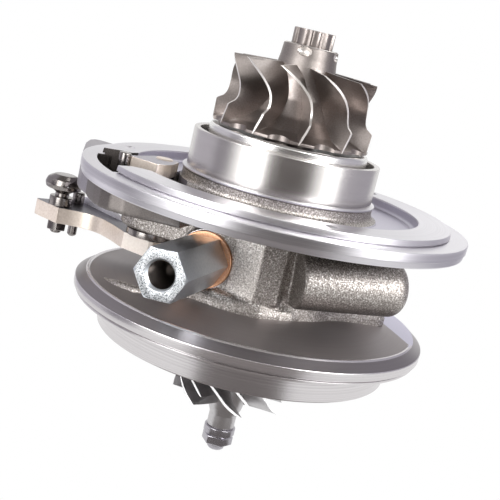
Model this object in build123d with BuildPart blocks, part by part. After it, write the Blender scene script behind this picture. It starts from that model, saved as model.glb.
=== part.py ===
from build123d import *
from math import cos, sin, radians
import os

# Turbo cartridge: bearing housing with its rotor and the vane control lever.
# Millimetres. Z is the shaft axis, up towards the turbine wheel. Z = 0 is the upper face of
# the turbine flange rim. The oil inlet points along -Y and the oil drain along +Y.

# Turbine flange
FLANGE_R = 70.0
FLANGE_STEP_Z = -3.1
FLANGE_STEP = 0.4
FLANGE_LIP_R = 69.3
FLANGE_BOTTOM = -5.3
LAND_OUTER_R = 63.3
LAND_INNER_R = 51.6
LAND_TOP = 2.3
UNDERCUT_R = LAND_OUTER_R - 0.8
UNDERCUT_Z = 0.5
RECESS_FLOOR = -1.8
LAND_HOLE_R = 1.6
LAND_HOLE_PCD_R = LAND_OUTER_R - 5.8
LAND_HOLE_DEPTH = 5.0
LAND_HOLE_ANGLES = (-54.0, 66.0, 186.0)
LAND_EDGE = 0.4
RIM_EDGE = 0.3

# Collar round the turbine wheel
COLLAR_R = 33.7
COLLAR_BORE_R = 31.6
COLLAR_TOP = 17.6
SHOULDER_R = 35.1
SHOULDER_TOP = 3.9
FOOT_R = 38.0
LEDGE_TOP = 10.0
LEDGE_INNER_R = 27.4
NOSE_R = 14.5
NOSE_TOP = 17.0
NOSE_FLOOR = 6.0
COLLAR_EDGE = 0.5

# Neck and disc below the flange
NECK_R = 33.5
NECK_FOOT_Z = -30.4
NECK_FOOT = ((35.2, -31.6), (36.7, -33.8))
FACET_EDGE = (35.3, -77.0)
FACET_END = (33.3, -57.0)
DISH_INNER_R = 37.3
DISH_TOP = -36.5
DISH_OUTER_R = 60.85
DISH_EDGE_Z = -40.0
DISC_R = 64.3
DISC_SHOULDER_Z = -42.4
DISC_BOTTOM = -45.35
REAR_FLAT_Z = -39.9
REAR_FLAT = ((46.5, 19.4), (49.5, 13.3), (61.5, 5.6), (75.0, 24.0), (60.0, 40.0))

# Closed side boss and the skirt that joins it to the disc
SIDE_BOSS_R = 9.6
SIDE_BOSS_START = (22.4, -29.0, -21.4)
SIDE_BOSS_END = (53.4, -6.5, -19.0)
SIDE_BOSS_ROUND = 5.0
SKIRT_TOP = -24.0
SKIRT = ((0.0, 0.0), (29.5, -18.5), (35.9, -7.4), (47.6, 12.7), (41.0, 15.9), (25.0, 20.0))

# Cast lug beside the flange, and the low ridge that runs out over the dish
LUG = (
    (-65.0, -27.5),
    (-75.0, -6.6),
    (-78.3, 2.4),
    (-78.1, 6.0),
    (-76.4, 7.2),
    (-66.0, 7.0),
    (-56.0, 3.0),
    (-56.0, -22.0),
)
LUG_TOP = -0.3
RIDGE = ((-42.0, -36.0, -41.6), (-33.9, -39.7, -39.9), (-27.3, -41.5, -39.3), (-11.9, -35.9, -37.6))
RIDGE_R = 2.4

# Oil space inside the neck
CAVITY_R = 27.0
CAVITY_TOP = 0.0
CAVITY_BOTTOM = -33.0
TUBE_R = 12.5
UPPER_SLOT = (12.0, 9.0, 5.4)
UPPER_SLOT_AT = (0.0, 12.0, 1.8)
LOWER_SLOT = (16.0, 12.0, 9.9)
LOWER_SLOT_AT = (0.0, 14.0, -36.0)
SCAVENGE_R = 11.0
SCAVENGE_TOP = 8.0
SCAVENGE_BOTTOM = 3.0

# Journal bearing
BEARING_BORE_R = 8.0
BEARING_CLEARANCE = 0.05
BEARING_TOP = 2.0
BEARING_BOTTOM = -38.0
BEARING_LAND = 10.0
BEARING_PIN_R = 1.5
BEARING_PIN_Z = -18.0
BEARING_PIN_OUT = 14.0
BEARING_WAIST = 0.8
BEARING_OIL_R = 1.2
JOURNAL_R = 5.0
RUNNING_GAP = 0.03

# Seals on the shaft
SEAL_BORE_R = 9.1
SEAL_HEAD_R = 8.9
TURBINE_RING_Z = 13.0
TURBINE_RING_H = 1.4
TURBINE_RING_IN_R = 7.9
COMP_SEAL_BORE_R = 7.0
FLINGER_R = 6.8
COMP_RING_Z = -51.7
COMP_RING_H = 1.4
COMP_RING_IN_R = 5.9
RING_SIDE_GAP = 0.08
RING_FLOOR_GAP = 0.25
RING_SPLIT = 0.8

# Thrust stage
THRUST_SEAT = -40.95
THRUST_H = 4.0
THRUST_R = 22.0
THRUST_OUTER_GAP = 0.05
THRUST_BORE_R = 5.7
THRUST_WINDOW = (18.0, 6.0)
THRUST_WINDOW_Y = 13.5
THRUST_WELL_R = 15.0
THRUST_WELL_TOP = -36.0
THRUST_AXIAL_GAP = 0.05
COLLAR_FLANGE_R = 8.5
COLLAR_SLEEVE_R = 5.6
SHAFT_STEP_Z = -38.3
SHAFT_THIN_R = 3.2
SHAFT_END = -100.2
DOWEL_R = 1.5
DOWEL_PCD_R = 18.5
DOWEL_TOP = -37.5

# Compressor backplate
LIP_R = 63.3
LIP_GROOVE_R = 62.6
LIP_TOP = -46.0
LIP_BOTTOM = -46.9
SPIGOT_R = 53.6
SPIGOT_BOTTOM = -57.4
SPIGOT_EDGE = 0.4
O_RING_R = 50.5
O_RING_SECTION = 1.0
O_RING_SIDE = 0.4
SCREW_PCD_R = 42.0
SCREW_R = 2.5
SCREW_HEAD_R = 4.8
SCREW_TOP = -40.5
SCREW_TIP_ROOM = 0.5
SCREW_SUNK = 0.2
SCREW_SOCKET_R = 1.5
SCREW_SOCKET_DEPTH = 2.0
SCREW_COUNT = 4
RELIEF_IN_R = 25.0
RELIEF_OUT_R = 36.5
RELIEF_FLOOR = -52.0
FLINGER_WELL_R = 12.0
FLINGER_WELL_Z = -47.6

# Turbine wheel
TURBINE_BLADES = 11
TURBINE_START = -61.7
TURBINE_R = 28.3
TURBINE_BACK = 21.1
BACK_DISC_IN = 0.3
TURBINE_BLADE_T = 1.3
HUB_BOSS_R = 10.4
HUB_BOSS_Z = 45.9
HUB_TOP = 52.9
NOSE_DRIVE_R = 7.35
NOSE_DRIVE_TOP = 58.4
NOSE_LOBES = 9
NOSE_TURN = 13.8
NOSE_GROOVE_R = 1.2
BALANCE_CUTS = ((-84.5, 51.0), (0.0, 51.3))
BALANCE_CUTTER_R = 3.3
BALANCE_CUTTER_H = 1.4
BALANCE_CUTTER_OUT = 11.6
SCALLOP_R = 5.6
SCALLOP_PCD_R = 29.6
TURBINE_HUB_LINE = ((22.0, 24.2), (16.5, 28.5), (12.6, 34.5), (10.9, 41.0))
# Blade rows: height, inner radius, outer radius, turn
TURBINE_ROWS = (
    (21.3, 9.0, TURBINE_R, -4.5),
    (28.5, 9.0, TURBINE_R, 0.0),
    (30.0, 9.0, 26.0, 0.2),
    (33.0, 8.5, 24.9, 0.4),
    (37.0, 8.5, 24.8, -3.9),
    (41.0, 8.5, 25.3, -13.8),
    (45.2, 8.5, 25.7, -30.4),
)
WELD_Z = 17.4

# Compressor wheel
COMP_BLADES = 7
COMP_START = -54.8
COMP_R = 29.5
COMP_BACK = -58.0
COMP_NOSE = -90.9
COMP_BLADE_T = 0.9
COMP_TIP_R = 20.8
COMP_HUB_NOSE_R = 5.2
COMP_HUB_NOSE_Z = -86.0
COMP_HUB_LINE = ((22.0, -60.6), (15.5, -63.8), (11.0, -68.5), (8.4, -74.5), (6.9, -80.0), (6.3, -83.0))
COMP_FULL_ROWS = (
    (-82.3, 4.6, 7.0, 11.0),
    (-78.8, 4.6, COMP_TIP_R, 0.0),
    (-74.8, 5.0, COMP_TIP_R, -18.6),
    (-69.6, 5.6, 21.6, -34.3),
    (-66.0, 6.5, 23.4, -42.0),
    (-62.6, 8.0, COMP_R, -47.5),
    (-59.2, 9.0, COMP_R, -50.5),
)
COMP_SPLITTER_ROWS = ((-75.6, 5.0, 10.0, -17.0),) + COMP_FULL_ROWS[2:]

# Compressor nut
NUT_R = 5.9
NUT_BOTTOM = -97.6
NUT_GROOVE_Z = -94.0
NUT_GROOVE_HALF = 0.3
NUT_GROOVE_DEPTH = 1.0
NUT_EDGE = 0.5

# Heat shield
SHEET = 0.8
SHIELD_BEAD_TOP = 20.3
SHIELD_BEAD_IN_R = 25.6
SHIELD_DISC_TOP = 19.4
SHIELD_R = 28.7
SHIELD_HOLE_R = 10.6
SHIELD_RIM_GAP = 0.05

# Oil inlet
INLET_X = -8.9
INLET_Z = -23.0
INLET_FACE = -32.8
INLET_BOSS_R = 10.5
WASHER_T = 1.6
WASHER_R = 9.9
WASHER_CLEARANCE = 0.1
HEX_FLATS = 16.0
HEX_END = -68.7
HEX_TURN = -4.4
HEX_EDGE_R = 8.1
HEX_EDGE_W = 1.5
HEX_EDGE = 0.9
THREAD_R = 7.0
THREAD_END = -21.5
INLET_BORE_R = 4.5
INLET_BORE_DEPTH = 14.0
INLET_SINK_R = 5.4
SPOT_FACE_R = 11.6
SPOT_FACE_DEPTH = 8.0
OIL_WAY_R = 2.0

# Oil drain
DRAIN_FACE = 36.0
DRAIN_Z = -20.5
DRAIN_PAD_W = 54.0
DRAIN_PAD_H = 26.0
DRAIN_PAD_ROUND = 9.0
DRAIN_PAD_BACK = 20.0
DRAIN_BORE_R = 9.0
DRAIN_SCREW_X = 19.5
DRAIN_SCREW_R = 3.4
DRAIN_SCREW_DEPTH = 13.0

# Vane lever
LEVER_X = -37.6
LEVER_Y = -17.5
LEVER_SHAFT_R = 4.0
BUSH_R = 6.0
BUSH_GAP = 0.04
BOSS_R = 10.8
BOSS_BOTTOM = -21.8
BOSS_ROUND = 1.5
POCKET_FLOOR = -8.5
POCKET_WALL = 3.5
POCKET_EDGE_IN = 0.2
# Corners of the pocket: distance inside the land's edge and angle, then distance outside the neck and angle
POCKET_NEAR_LAND = ((5.8, -129.9), (8.4, -129.1), (11.7, -125.0))
POCKET_NEAR_NECK = ((12.4, -113.0), (6.6, -117.8))
POCKET_FAR_NECK = ((2.1, -172.8), (8.7, -172.7))
POCKET_FAR_LAND = ((12.1, -165.9), (10.0, -160.9), (6.7, -160.6))
POD_BOTTOM = -12.5
BUSH_SPLIT_Z = -14.5
BUSH_FLANGE_R = 8.2
BUSH_NECK_R = 7.0
BUSH_FLANGE_TOP = -22.5
LEVER_TOP = -25.1
LEVER_GAP = 0.1
LEVER_BOTTOM = -31.0
LEVER_HUB_R = 8.5
LEVER_EYE_R = 3.2
LEVER_EDGE = 0.4
LEVER_NEAR_SIDE = (
    (-40.0, -25.4),
    (-46.8, -20.4),
    (-54.2, -15.7),
    (-59.9, -13.0),
    (-65.9, -12.3),
    (-69.9, -14.2),
    (-75.2, -17.7),
)
LEVER_END = ((-85.2, -14.2), (-87.7, -13.1), (-85.1, -9.3))
LEVER_FAR_SIDE = ((-79.0, 3.7), (-74.5, 2.1), (-69.7, -0.9), (-63.5, -3.4), (-56.1, -5.9), (-41.0, -10.2))
LEVER_RELIEF_R = 9.4
CRANK_TOP = 3.3
CRANK_T = 5.0
CRANK_HUB_R = 5.2
CRANK_HUB_BOTTOM = -8.4
CRANK_PIN_X = -46.4
CRANK_PIN_Y = -30.9
CRANK_PIN_R = 2.1
CRANK_PIN_UP = 0.9
CRANK_EDGE = 0.4
STUD_X = -77.3
STUD_Y = -12.7
STUD_BASE_R = 4.4
STUD_HEAD_R = 7.0
STUD_HEAD_TOP = -13.3
STUD_SHANK_R = 2.0
STUD_END = -35.6
STUD_NUT_FLATS = 6.6
STUD_NUT_H = 3.4
STUD_NECK_R = 2.6
STUD_COLLAR_H = 3.5
STOP_X = -76.0
STOP_Y = -2.0
STOP_HEAD_R = 2.3
STOP_R = 1.8
STOP_TOP = -20.5
STOP_END = -38.0


def polar(radius, angle):
    """Point at a radius and an angle in degrees round the shaft axis."""
    return (radius * cos(radians(angle)), radius * sin(radians(angle)))


def turned(points, x=0.0, y=0.0):
    """Solid of revolution from (radius, z) points, about a line parallel to Z."""
    with BuildPart() as body:
        with BuildSketch(Plane.XZ):
            with BuildLine():
                Polyline(*points, close=True)
            make_face()
        revolve(axis=Axis.Z)
    return body.part.moved(Location((x, y, 0)))


def rod(radius, start, end, rounding=0.0):
    """Cylinder between two points, with a rounded edge at its end when asked for."""
    way = Vector(*end) - Vector(*start)
    with BuildPart() as body:
        with BuildSketch(Plane(origin=start, z_dir=way)):
            Circle(radius)
        extrude(amount=way.length)
        if rounding:
            fillet(body.faces().sort_by(Axis(start, way))[-1].edges(), rounding)
    return body.part


def prism(points, bottom, top):
    """Upright prism over a straight-sided outline."""
    with BuildPart() as body:
        with BuildSketch(Plane.XY.offset(bottom)):
            with BuildLine():
                Polyline(*points, close=True)
            make_face()
        extrude(amount=top - bottom)
    return body.part


def radial_strip(height, inner, outer, angle, thickness):
    """Flat strip along a radius: one section of a wheel blade."""
    middle = polar((inner + outer) / 2, angle)
    plane = Plane(origin=(middle[0], middle[1], height), x_dir=(cos(radians(angle)), sin(radians(angle)), 0))
    with BuildSketch(plane) as strip:
        Rectangle(outer - inner, thickness)
    return strip.sketch.faces()[0]


def blade(sections, thickness):
    """Twisted blade through rows of (height, inner radius, outer radius, angle)."""
    faces = [radial_strip(*row, thickness) for row in sections]
    with BuildPart() as body:
        loft(faces, ruled=True)
    return body.part


def export(body, name):
    """Write one node of the assembly."""
    body.label = name
    export_step(body, "parts/" + name + ".step")


def save(builder, name):
    """Write the part of a builder."""
    export(builder.part, name)


os.makedirs("parts", exist_ok=True)

# Pocket round the crank, open through the land, bounded inside by the neck of the collar
pocket_neck_r = SHOULDER_R + 0.1
pocket_far_corner = polar(LAND_OUTER_R - POCKET_EDGE_IN, -157.5)
pocket_near_corner = polar(LAND_OUTER_R, -128.0)
pocket_land_mid = polar(LAND_OUTER_R, -143.0)
pocket_neck_start = polar(pocket_neck_r, -133.0)
pocket_neck_mid = polar(pocket_neck_r, -152.0)
pocket_neck_end = polar(pocket_neck_r, -170.0)
with BuildSketch() as pocket_outline:
    with BuildLine():
        ThreePointArc(pocket_far_corner, pocket_land_mid, pocket_near_corner)
        Polyline(
            pocket_near_corner,
            *[polar(LAND_OUTER_R - inside, angle) for inside, angle in POCKET_NEAR_LAND],
            *[polar(pocket_neck_r + outside, angle) for outside, angle in POCKET_NEAR_NECK],
            pocket_neck_start,
        )
        ThreePointArc(pocket_neck_start, pocket_neck_mid, pocket_neck_end)
        Polyline(
            pocket_neck_end,
            *[polar(pocket_neck_r + outside, angle) for outside, angle in POCKET_FAR_NECK],
            *[polar(LAND_OUTER_R - inside, angle) for inside, angle in POCKET_FAR_LAND],
            pocket_far_corner,
        )
    make_face()

# Bearing housing
pod_r = LAND_OUTER_R + POCKET_WALL
pod_arc_start = polar(pod_r, -163.0)
pod_arc_mid = polar(pod_r, -144.0)
pod_arc_end = polar(pod_r, -125.0)
facets = [(0.0, -20.0), (1.0, -NECK_R), polar(*FACET_EDGE), polar(*FACET_END), (12.0, -14.0)]
boss_top = FLANGE_BOTTOM + 0.5
with BuildPart() as bearing_housing:
    add(turned([
        (0, COLLAR_TOP),
        (COLLAR_R - COLLAR_EDGE, COLLAR_TOP),
        (COLLAR_R, COLLAR_TOP - COLLAR_EDGE),
        (COLLAR_R, SHOULDER_TOP),
        (SHOULDER_R, SHOULDER_TOP),
        (SHOULDER_R, RECESS_FLOOR + 2.5),
        (SHOULDER_R + 0.7, RECESS_FLOOR + 0.8),
        (FOOT_R, RECESS_FLOOR),
        (LAND_INNER_R, RECESS_FLOOR),
        (LAND_INNER_R, LAND_TOP - LAND_EDGE),
        (LAND_INNER_R + LAND_EDGE, LAND_TOP),
        (LAND_OUTER_R - LAND_EDGE, LAND_TOP),
        (LAND_OUTER_R, LAND_TOP - LAND_EDGE),
        (LAND_OUTER_R, UNDERCUT_Z),
        (UNDERCUT_R, UNDERCUT_Z),
        (UNDERCUT_R, 0),
        (FLANGE_R - RIM_EDGE, 0),
        (FLANGE_R, -RIM_EDGE),
        (FLANGE_R, FLANGE_STEP_Z),
        (FLANGE_R - FLANGE_STEP, FLANGE_STEP_Z),
        (FLANGE_LIP_R, FLANGE_BOTTOM),
        (FOOT_R, FLANGE_BOTTOM),
        (NECK_R, FLANGE_BOTTOM - 3.0),
        (NECK_R, NECK_FOOT_Z),
        *NECK_FOOT,
        (DISH_INNER_R, DISH_TOP),
        (DISH_OUTER_R, DISH_EDGE_Z),
        (DISC_R, DISC_SHOULDER_Z),
        (DISC_R, DISC_BOTTOM + RIM_EDGE),
        (DISC_R - RIM_EDGE, DISC_BOTTOM),
        (0, DISC_BOTTOM),
    ]))
    # Cast lug beside the flange, pod under the pocket, lever boss and its web to the neck
    add(prism(LUG, POD_BOTTOM, LUG_TOP))
    with BuildSketch(Plane.XY.offset(POD_BOTTOM)):
        with BuildLine():
            ThreePointArc(pod_arc_start, pod_arc_mid, pod_arc_end)
            Polyline(pod_arc_end, (-15.0, -46.5), (-15.0, -30.0), (-30.0, -5.0), (-43.0, -1.0), pod_arc_start)
        make_face()
    extrude(amount=boss_top - POD_BOTTOM)
    add(rod(BOSS_R, (LEVER_X, LEVER_Y, boss_top), (LEVER_X, LEVER_Y, BOSS_BOTTOM), BOSS_ROUND))
    add(prism([(LEVER_X, LEVER_Y - BOSS_R), (-15, -29.5), (-15, 0), (LEVER_X, LEVER_Y + BOSS_R)],
              BOSS_BOTTOM, boss_top))
    # Inlet boss, flat facets of the neck, closed side boss and drain pad
    add(rod(INLET_BOSS_R, (INLET_X, -20.0, INLET_Z), (INLET_X, INLET_FACE, INLET_Z)))
    add(prism(facets, NECK_FOOT_Z - 1.0, boss_top))
    add(rod(SIDE_BOSS_R, SIDE_BOSS_START, SIDE_BOSS_END, SIDE_BOSS_ROUND))
    add(prism(SKIRT, DISH_EDGE_Z, SKIRT_TOP))
    with BuildSketch(Plane(origin=(0, DRAIN_FACE, DRAIN_Z), x_dir=(1, 0, 0), z_dir=(0, 1, 0))):
        RectangleRounded(DRAIN_PAD_W, DRAIN_PAD_H, DRAIN_PAD_ROUND)
    extrude(amount=-DRAIN_PAD_BACK)
    # Cast ridge that runs out over the dish
    for start, end in zip(RIDGE, RIDGE[1:]):
        add(rod(RIDGE_R, start, end))
    with Locations(*RIDGE[1:3]):
        Sphere(RIDGE_R)

    # Spot face of the inlet
    add(rod(SPOT_FACE_R, (INLET_X, INLET_FACE, INLET_Z), (INLET_X, INLET_FACE - SPOT_FACE_DEPTH, INLET_Z)),
        mode=Mode.SUBTRACT)
    # Space inside the collar, with the ledge and the nose
    add(turned([
        (NOSE_R, NOSE_TOP),
        (0, NOSE_TOP),
        (0, COLLAR_TOP + 1),
        (COLLAR_BORE_R, COLLAR_TOP + 1),
        (COLLAR_BORE_R, LEDGE_TOP),
        (LEDGE_INNER_R, LEDGE_TOP),
        (LEDGE_INNER_R, NOSE_FLOOR),
        (NOSE_R + 1.0, NOSE_FLOOR),
    ]), mode=Mode.SUBTRACT)
    # Annular oil space and the well of the thrust stage
    add(turned([
        (TUBE_R, CAVITY_TOP),
        (CAVITY_R, CAVITY_TOP),
        (CAVITY_R, CAVITY_BOTTOM),
        (TUBE_R, CAVITY_BOTTOM),
    ]), mode=Mode.SUBTRACT)
    add(turned([
        (0, THRUST_WELL_TOP),
        (THRUST_WELL_R, THRUST_WELL_TOP),
        (THRUST_WELL_R, THRUST_SEAT),
        (THRUST_R, THRUST_SEAT),
        (THRUST_R, DISC_BOTTOM - 1),
        (0, DISC_BOTTOM - 1),
    ]), mode=Mode.SUBTRACT)
    # Solid way for the inlet thread through the oil space
    add(rod(INLET_BOSS_R - 0.5, (INLET_X, -9.0, INLET_Z), (INLET_X, INLET_FACE + 0.5, INLET_Z)))
    # Bearing tube with its bore, scavenge chamber and seal bore
    add(turned([
        (0, BEARING_BOTTOM),
        (TUBE_R, BEARING_BOTTOM),
        (TUBE_R, NOSE_FLOOR),
        (0, NOSE_FLOOR),
    ]))
    add(turned([
        (0, NOSE_TOP + 1),
        (SEAL_BORE_R, NOSE_TOP + 1),
        (SEAL_BORE_R, SCAVENGE_TOP),
        (SCAVENGE_R, SCAVENGE_TOP),
        (SCAVENGE_R, SCAVENGE_BOTTOM),
        (BEARING_BORE_R, SCAVENGE_BOTTOM),
        (BEARING_BORE_R, BEARING_BOTTOM - 1),
        (0, BEARING_BOTTOM - 1),
    ]), mode=Mode.SUBTRACT)
    # Drain slots from both ends of the bearing, and the drain bore
    with Locations(UPPER_SLOT_AT):
        Box(*UPPER_SLOT, mode=Mode.SUBTRACT)
    with Locations(LOWER_SLOT_AT):
        Box(*LOWER_SLOT, mode=Mode.SUBTRACT)
    add(rod(DRAIN_BORE_R, (0, 14.0, DRAIN_Z), (0, DRAIN_FACE + 1, DRAIN_Z)), mode=Mode.SUBTRACT)
    for side in (-1, 1):
        add(rod(DRAIN_SCREW_R, (side * DRAIN_SCREW_X, DRAIN_FACE - DRAIN_SCREW_DEPTH, DRAIN_Z),
                (side * DRAIN_SCREW_X, DRAIN_FACE + 1, DRAIN_Z)), mode=Mode.SUBTRACT)
    # Inlet thread and the drilling from it to the bearing
    add(rod(THREAD_R, (INLET_X, THREAD_END + 1, INLET_Z), (INLET_X, INLET_FACE - 1, INLET_Z)), mode=Mode.SUBTRACT)
    add(rod(OIL_WAY_R, (INLET_X, THREAD_END, INLET_Z), (-2.0, -5.0, BEARING_PIN_Z)), mode=Mode.SUBTRACT)
    # Hole of the bearing pin, from the oil space
    add(rod(BEARING_PIN_R, (0, BEARING_BORE_R - 1, BEARING_PIN_Z), (0, BEARING_PIN_OUT, BEARING_PIN_Z)),
        mode=Mode.SUBTRACT)
    # Pocket of the crank, bush bore, and room for the lever hub
    with BuildSketch(Plane.XY.offset(POCKET_FLOOR)):
        add(pocket_outline.sketch)
    extrude(amount=LAND_TOP + 1 - POCKET_FLOOR, mode=Mode.SUBTRACT)
    add(rod(BUSH_R, (LEVER_X, LEVER_Y, BOSS_BOTTOM - 1), (LEVER_X, LEVER_Y, POCKET_FLOOR + 1)),
        mode=Mode.SUBTRACT)
    add(rod(LEVER_RELIEF_R, (LEVER_X, LEVER_Y, LEVER_BOTTOM - 0.7), (LEVER_X, LEVER_Y, BOSS_BOTTOM)),
        mode=Mode.SUBTRACT)
    # Holes in the land, for the nozzle ring
    for angle in LAND_HOLE_ANGLES:
        x, y = polar(LAND_HOLE_PCD_R, angle)
        add(rod(LAND_HOLE_R, (x, y, LAND_TOP - LAND_HOLE_DEPTH), (x, y, LAND_TOP + 1)), mode=Mode.SUBTRACT)
    # Flat at the right rear of the dish
    add(prism(REAR_FLAT, REAR_FLAT_Z, DISH_TOP + 1), mode=Mode.SUBTRACT)
    # Tapped holes and dowel holes in the lower face
    for index in range(SCREW_COUNT):
        x, y = polar(SCREW_PCD_R, 45 + 360 / SCREW_COUNT * index)
        add(rod(SCREW_R, (x, y, DISC_BOTTOM - 1), (x, y, SCREW_TOP + SCREW_TIP_ROOM)), mode=Mode.SUBTRACT)
    for angle in (0, 180):
        x, y = polar(DOWEL_PCD_R, angle)
        add(rod(DOWEL_R, (x, y, THRUST_SEAT - 1), (x, y, DOWEL_TOP)), mode=Mode.SUBTRACT)
save(bearing_housing, "bearing_housing")

# Pressed heat shield standing on the ledge
heat_shield = turned([
    (SHIELD_HOLE_R, SHIELD_DISC_TOP - SHEET),
    (SHIELD_HOLE_R, SHIELD_DISC_TOP),
    (SHIELD_BEAD_IN_R, SHIELD_DISC_TOP),
    (SHIELD_BEAD_IN_R + 0.7, SHIELD_BEAD_TOP),
    (SHIELD_R - 0.7, SHIELD_BEAD_TOP),
    (SHIELD_R, SHIELD_BEAD_TOP - 0.9),
    (SHIELD_R, LEDGE_TOP + SHEET),
    (COLLAR_BORE_R - SHIELD_RIM_GAP, LEDGE_TOP + SHEET),
    (COLLAR_BORE_R - SHIELD_RIM_GAP, LEDGE_TOP),
    (SHIELD_R - SHEET, LEDGE_TOP),
    (SHIELD_R - SHEET, SHIELD_DISC_TOP - SHEET),
])
export(heat_shield, "heat_shield")

# One-piece journal bearing with two lands, held from turning by a pin
with BuildPart() as journal_bearing:
    add(turned([
        (JOURNAL_R + RUNNING_GAP, BEARING_TOP),
        (BEARING_BORE_R - BEARING_CLEARANCE, BEARING_TOP),
        (BEARING_BORE_R - BEARING_CLEARANCE, BEARING_TOP - BEARING_LAND),
        (BEARING_BORE_R - BEARING_WAIST, BEARING_TOP - BEARING_LAND - BEARING_WAIST),
        (BEARING_BORE_R - BEARING_WAIST, BEARING_BOTTOM + BEARING_LAND + BEARING_WAIST),
        (BEARING_BORE_R - BEARING_CLEARANCE, BEARING_BOTTOM + BEARING_LAND),
        (BEARING_BORE_R - BEARING_CLEARANCE, BEARING_BOTTOM),
        (JOURNAL_R + RUNNING_GAP, BEARING_BOTTOM),
        (JOURNAL_R + RUNNING_GAP, BEARING_BOTTOM + BEARING_LAND),
        (JOURNAL_R + 0.7, BEARING_BOTTOM + BEARING_LAND + 0.7),
        (JOURNAL_R + 0.7, BEARING_TOP - BEARING_LAND - 0.7),
        (JOURNAL_R + RUNNING_GAP, BEARING_TOP - BEARING_LAND),
    ]))
    add(rod(BEARING_PIN_R, (0, 0, BEARING_PIN_Z), (0, 12, BEARING_PIN_Z)), mode=Mode.SUBTRACT)
    add(rod(BEARING_OIL_R, (0, 0, BEARING_PIN_Z), (0, -12, BEARING_PIN_Z)), mode=Mode.SUBTRACT)
save(journal_bearing, "journal_bearing")
export(rod(BEARING_PIN_R, (0, JOURNAL_R + 1.2, BEARING_PIN_Z), (0, BEARING_PIN_OUT, BEARING_PIN_Z)), "bearing_pin")

# Thrust bearing between the thrust collar and the oil flinger
thrust_bottom = THRUST_SEAT - THRUST_H
with BuildPart() as thrust_bearing:
    with BuildSketch(Plane.XY.offset(thrust_bottom)):
        Circle(THRUST_R - THRUST_OUTER_GAP)
        Circle(THRUST_BORE_R, mode=Mode.SUBTRACT)
        with PolarLocations(DOWEL_PCD_R, 2):
            Circle(DOWEL_R, mode=Mode.SUBTRACT)
        # Window on the drain side
        with Locations((0, THRUST_WINDOW_Y)):
            SlotOverall(*THRUST_WINDOW, mode=Mode.SUBTRACT)
    extrude(amount=THRUST_H)
save(thrust_bearing, "thrust_bearing")
with BuildPart() as thrust_dowels:
    with BuildSketch(Plane.XY.offset(thrust_bottom)):
        with PolarLocations(DOWEL_PCD_R, 2):
            Circle(DOWEL_R)
    extrude(amount=DOWEL_TOP - thrust_bottom)
save(thrust_dowels, "thrust_dowels")

collar_bottom = thrust_bottom - THRUST_AXIAL_GAP
export(turned([
    (SHAFT_THIN_R, SHAFT_STEP_Z),
    (COLLAR_FLANGE_R, SHAFT_STEP_Z),
    (COLLAR_FLANGE_R, THRUST_SEAT + THRUST_AXIAL_GAP),
    (COLLAR_SLEEVE_R, THRUST_SEAT + THRUST_AXIAL_GAP),
    (COLLAR_SLEEVE_R, collar_bottom),
    (SHAFT_THIN_R, collar_bottom),
]), "thrust_collar")

comp_groove_r = COMP_RING_IN_R - RING_FLOOR_GAP
comp_groove_half = COMP_RING_H / 2 + RING_SIDE_GAP
export(turned([
    (SHAFT_THIN_R, collar_bottom),
    (COLLAR_FLANGE_R, collar_bottom),
    (COLLAR_FLANGE_R, collar_bottom - 1.6),
    (FLINGER_R, collar_bottom - 2.2),
    (FLINGER_R, COMP_RING_Z + comp_groove_half),
    (comp_groove_r, COMP_RING_Z + comp_groove_half),
    (comp_groove_r, COMP_RING_Z - comp_groove_half),
    (FLINGER_R, COMP_RING_Z - comp_groove_half),
    (FLINGER_R, COMP_BACK),
    (SHAFT_THIN_R, COMP_BACK),
]), "oil_flinger")

# Compressor backplate with its O-ring and countersunk screws
with BuildPart() as compressor_backplate:
    add(turned([
        (COMP_SEAL_BORE_R, FLINGER_WELL_Z),
        (FLINGER_WELL_R, FLINGER_WELL_Z),
        (FLINGER_WELL_R, thrust_bottom),
        (THRUST_R - THRUST_OUTER_GAP, thrust_bottom),
        (THRUST_R - THRUST_OUTER_GAP, DISC_BOTTOM),
        (RELIEF_IN_R, DISC_BOTTOM),
        (RELIEF_IN_R, RELIEF_FLOOR),
        (RELIEF_OUT_R, RELIEF_FLOOR),
        (RELIEF_OUT_R, DISC_BOTTOM),
        (O_RING_R - O_RING_SECTION - O_RING_SIDE, DISC_BOTTOM),
        (O_RING_R - O_RING_SECTION - O_RING_SIDE, DISC_BOTTOM - 2 * O_RING_SECTION),
        (O_RING_R + O_RING_SECTION + O_RING_SIDE, DISC_BOTTOM - 2 * O_RING_SECTION),
        (O_RING_R + O_RING_SECTION + O_RING_SIDE, DISC_BOTTOM),
        (LIP_GROOVE_R, DISC_BOTTOM),
        (LIP_GROOVE_R, LIP_TOP),
        (LIP_R, LIP_TOP),
        (LIP_R, LIP_BOTTOM),
        (SPIGOT_R, LIP_BOTTOM),
        (SPIGOT_R, SPIGOT_BOTTOM + SPIGOT_EDGE),
        (SPIGOT_R - SPIGOT_EDGE, SPIGOT_BOTTOM),
        (COMP_SEAL_BORE_R, SPIGOT_BOTTOM),
    ]))
    for index in range(SCREW_COUNT):
        x, y = polar(SCREW_PCD_R, 45 + 360 / SCREW_COUNT * index)
        add(turned([
            (0, DISC_BOTTOM + 1),
            (SCREW_R, DISC_BOTTOM + 1),
            (SCREW_R, SPIGOT_BOTTOM + SCREW_HEAD_R - SCREW_R),
            (SCREW_HEAD_R, SPIGOT_BOTTOM),
            (SCREW_HEAD_R, SPIGOT_BOTTOM - 1),
            (0, SPIGOT_BOTTOM - 1),
        ], x, y), mode=Mode.SUBTRACT)
save(compressor_backplate, "compressor_backplate")
with BuildPart() as backplate_o_ring:
    with BuildSketch(Plane.XZ):
        with Locations((O_RING_R, DISC_BOTTOM - O_RING_SECTION)):
            Rectangle(2 * O_RING_SECTION, 2 * O_RING_SECTION)
    revolve(axis=Axis.Z)
save(backplate_o_ring, "backplate_o_ring")
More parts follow.
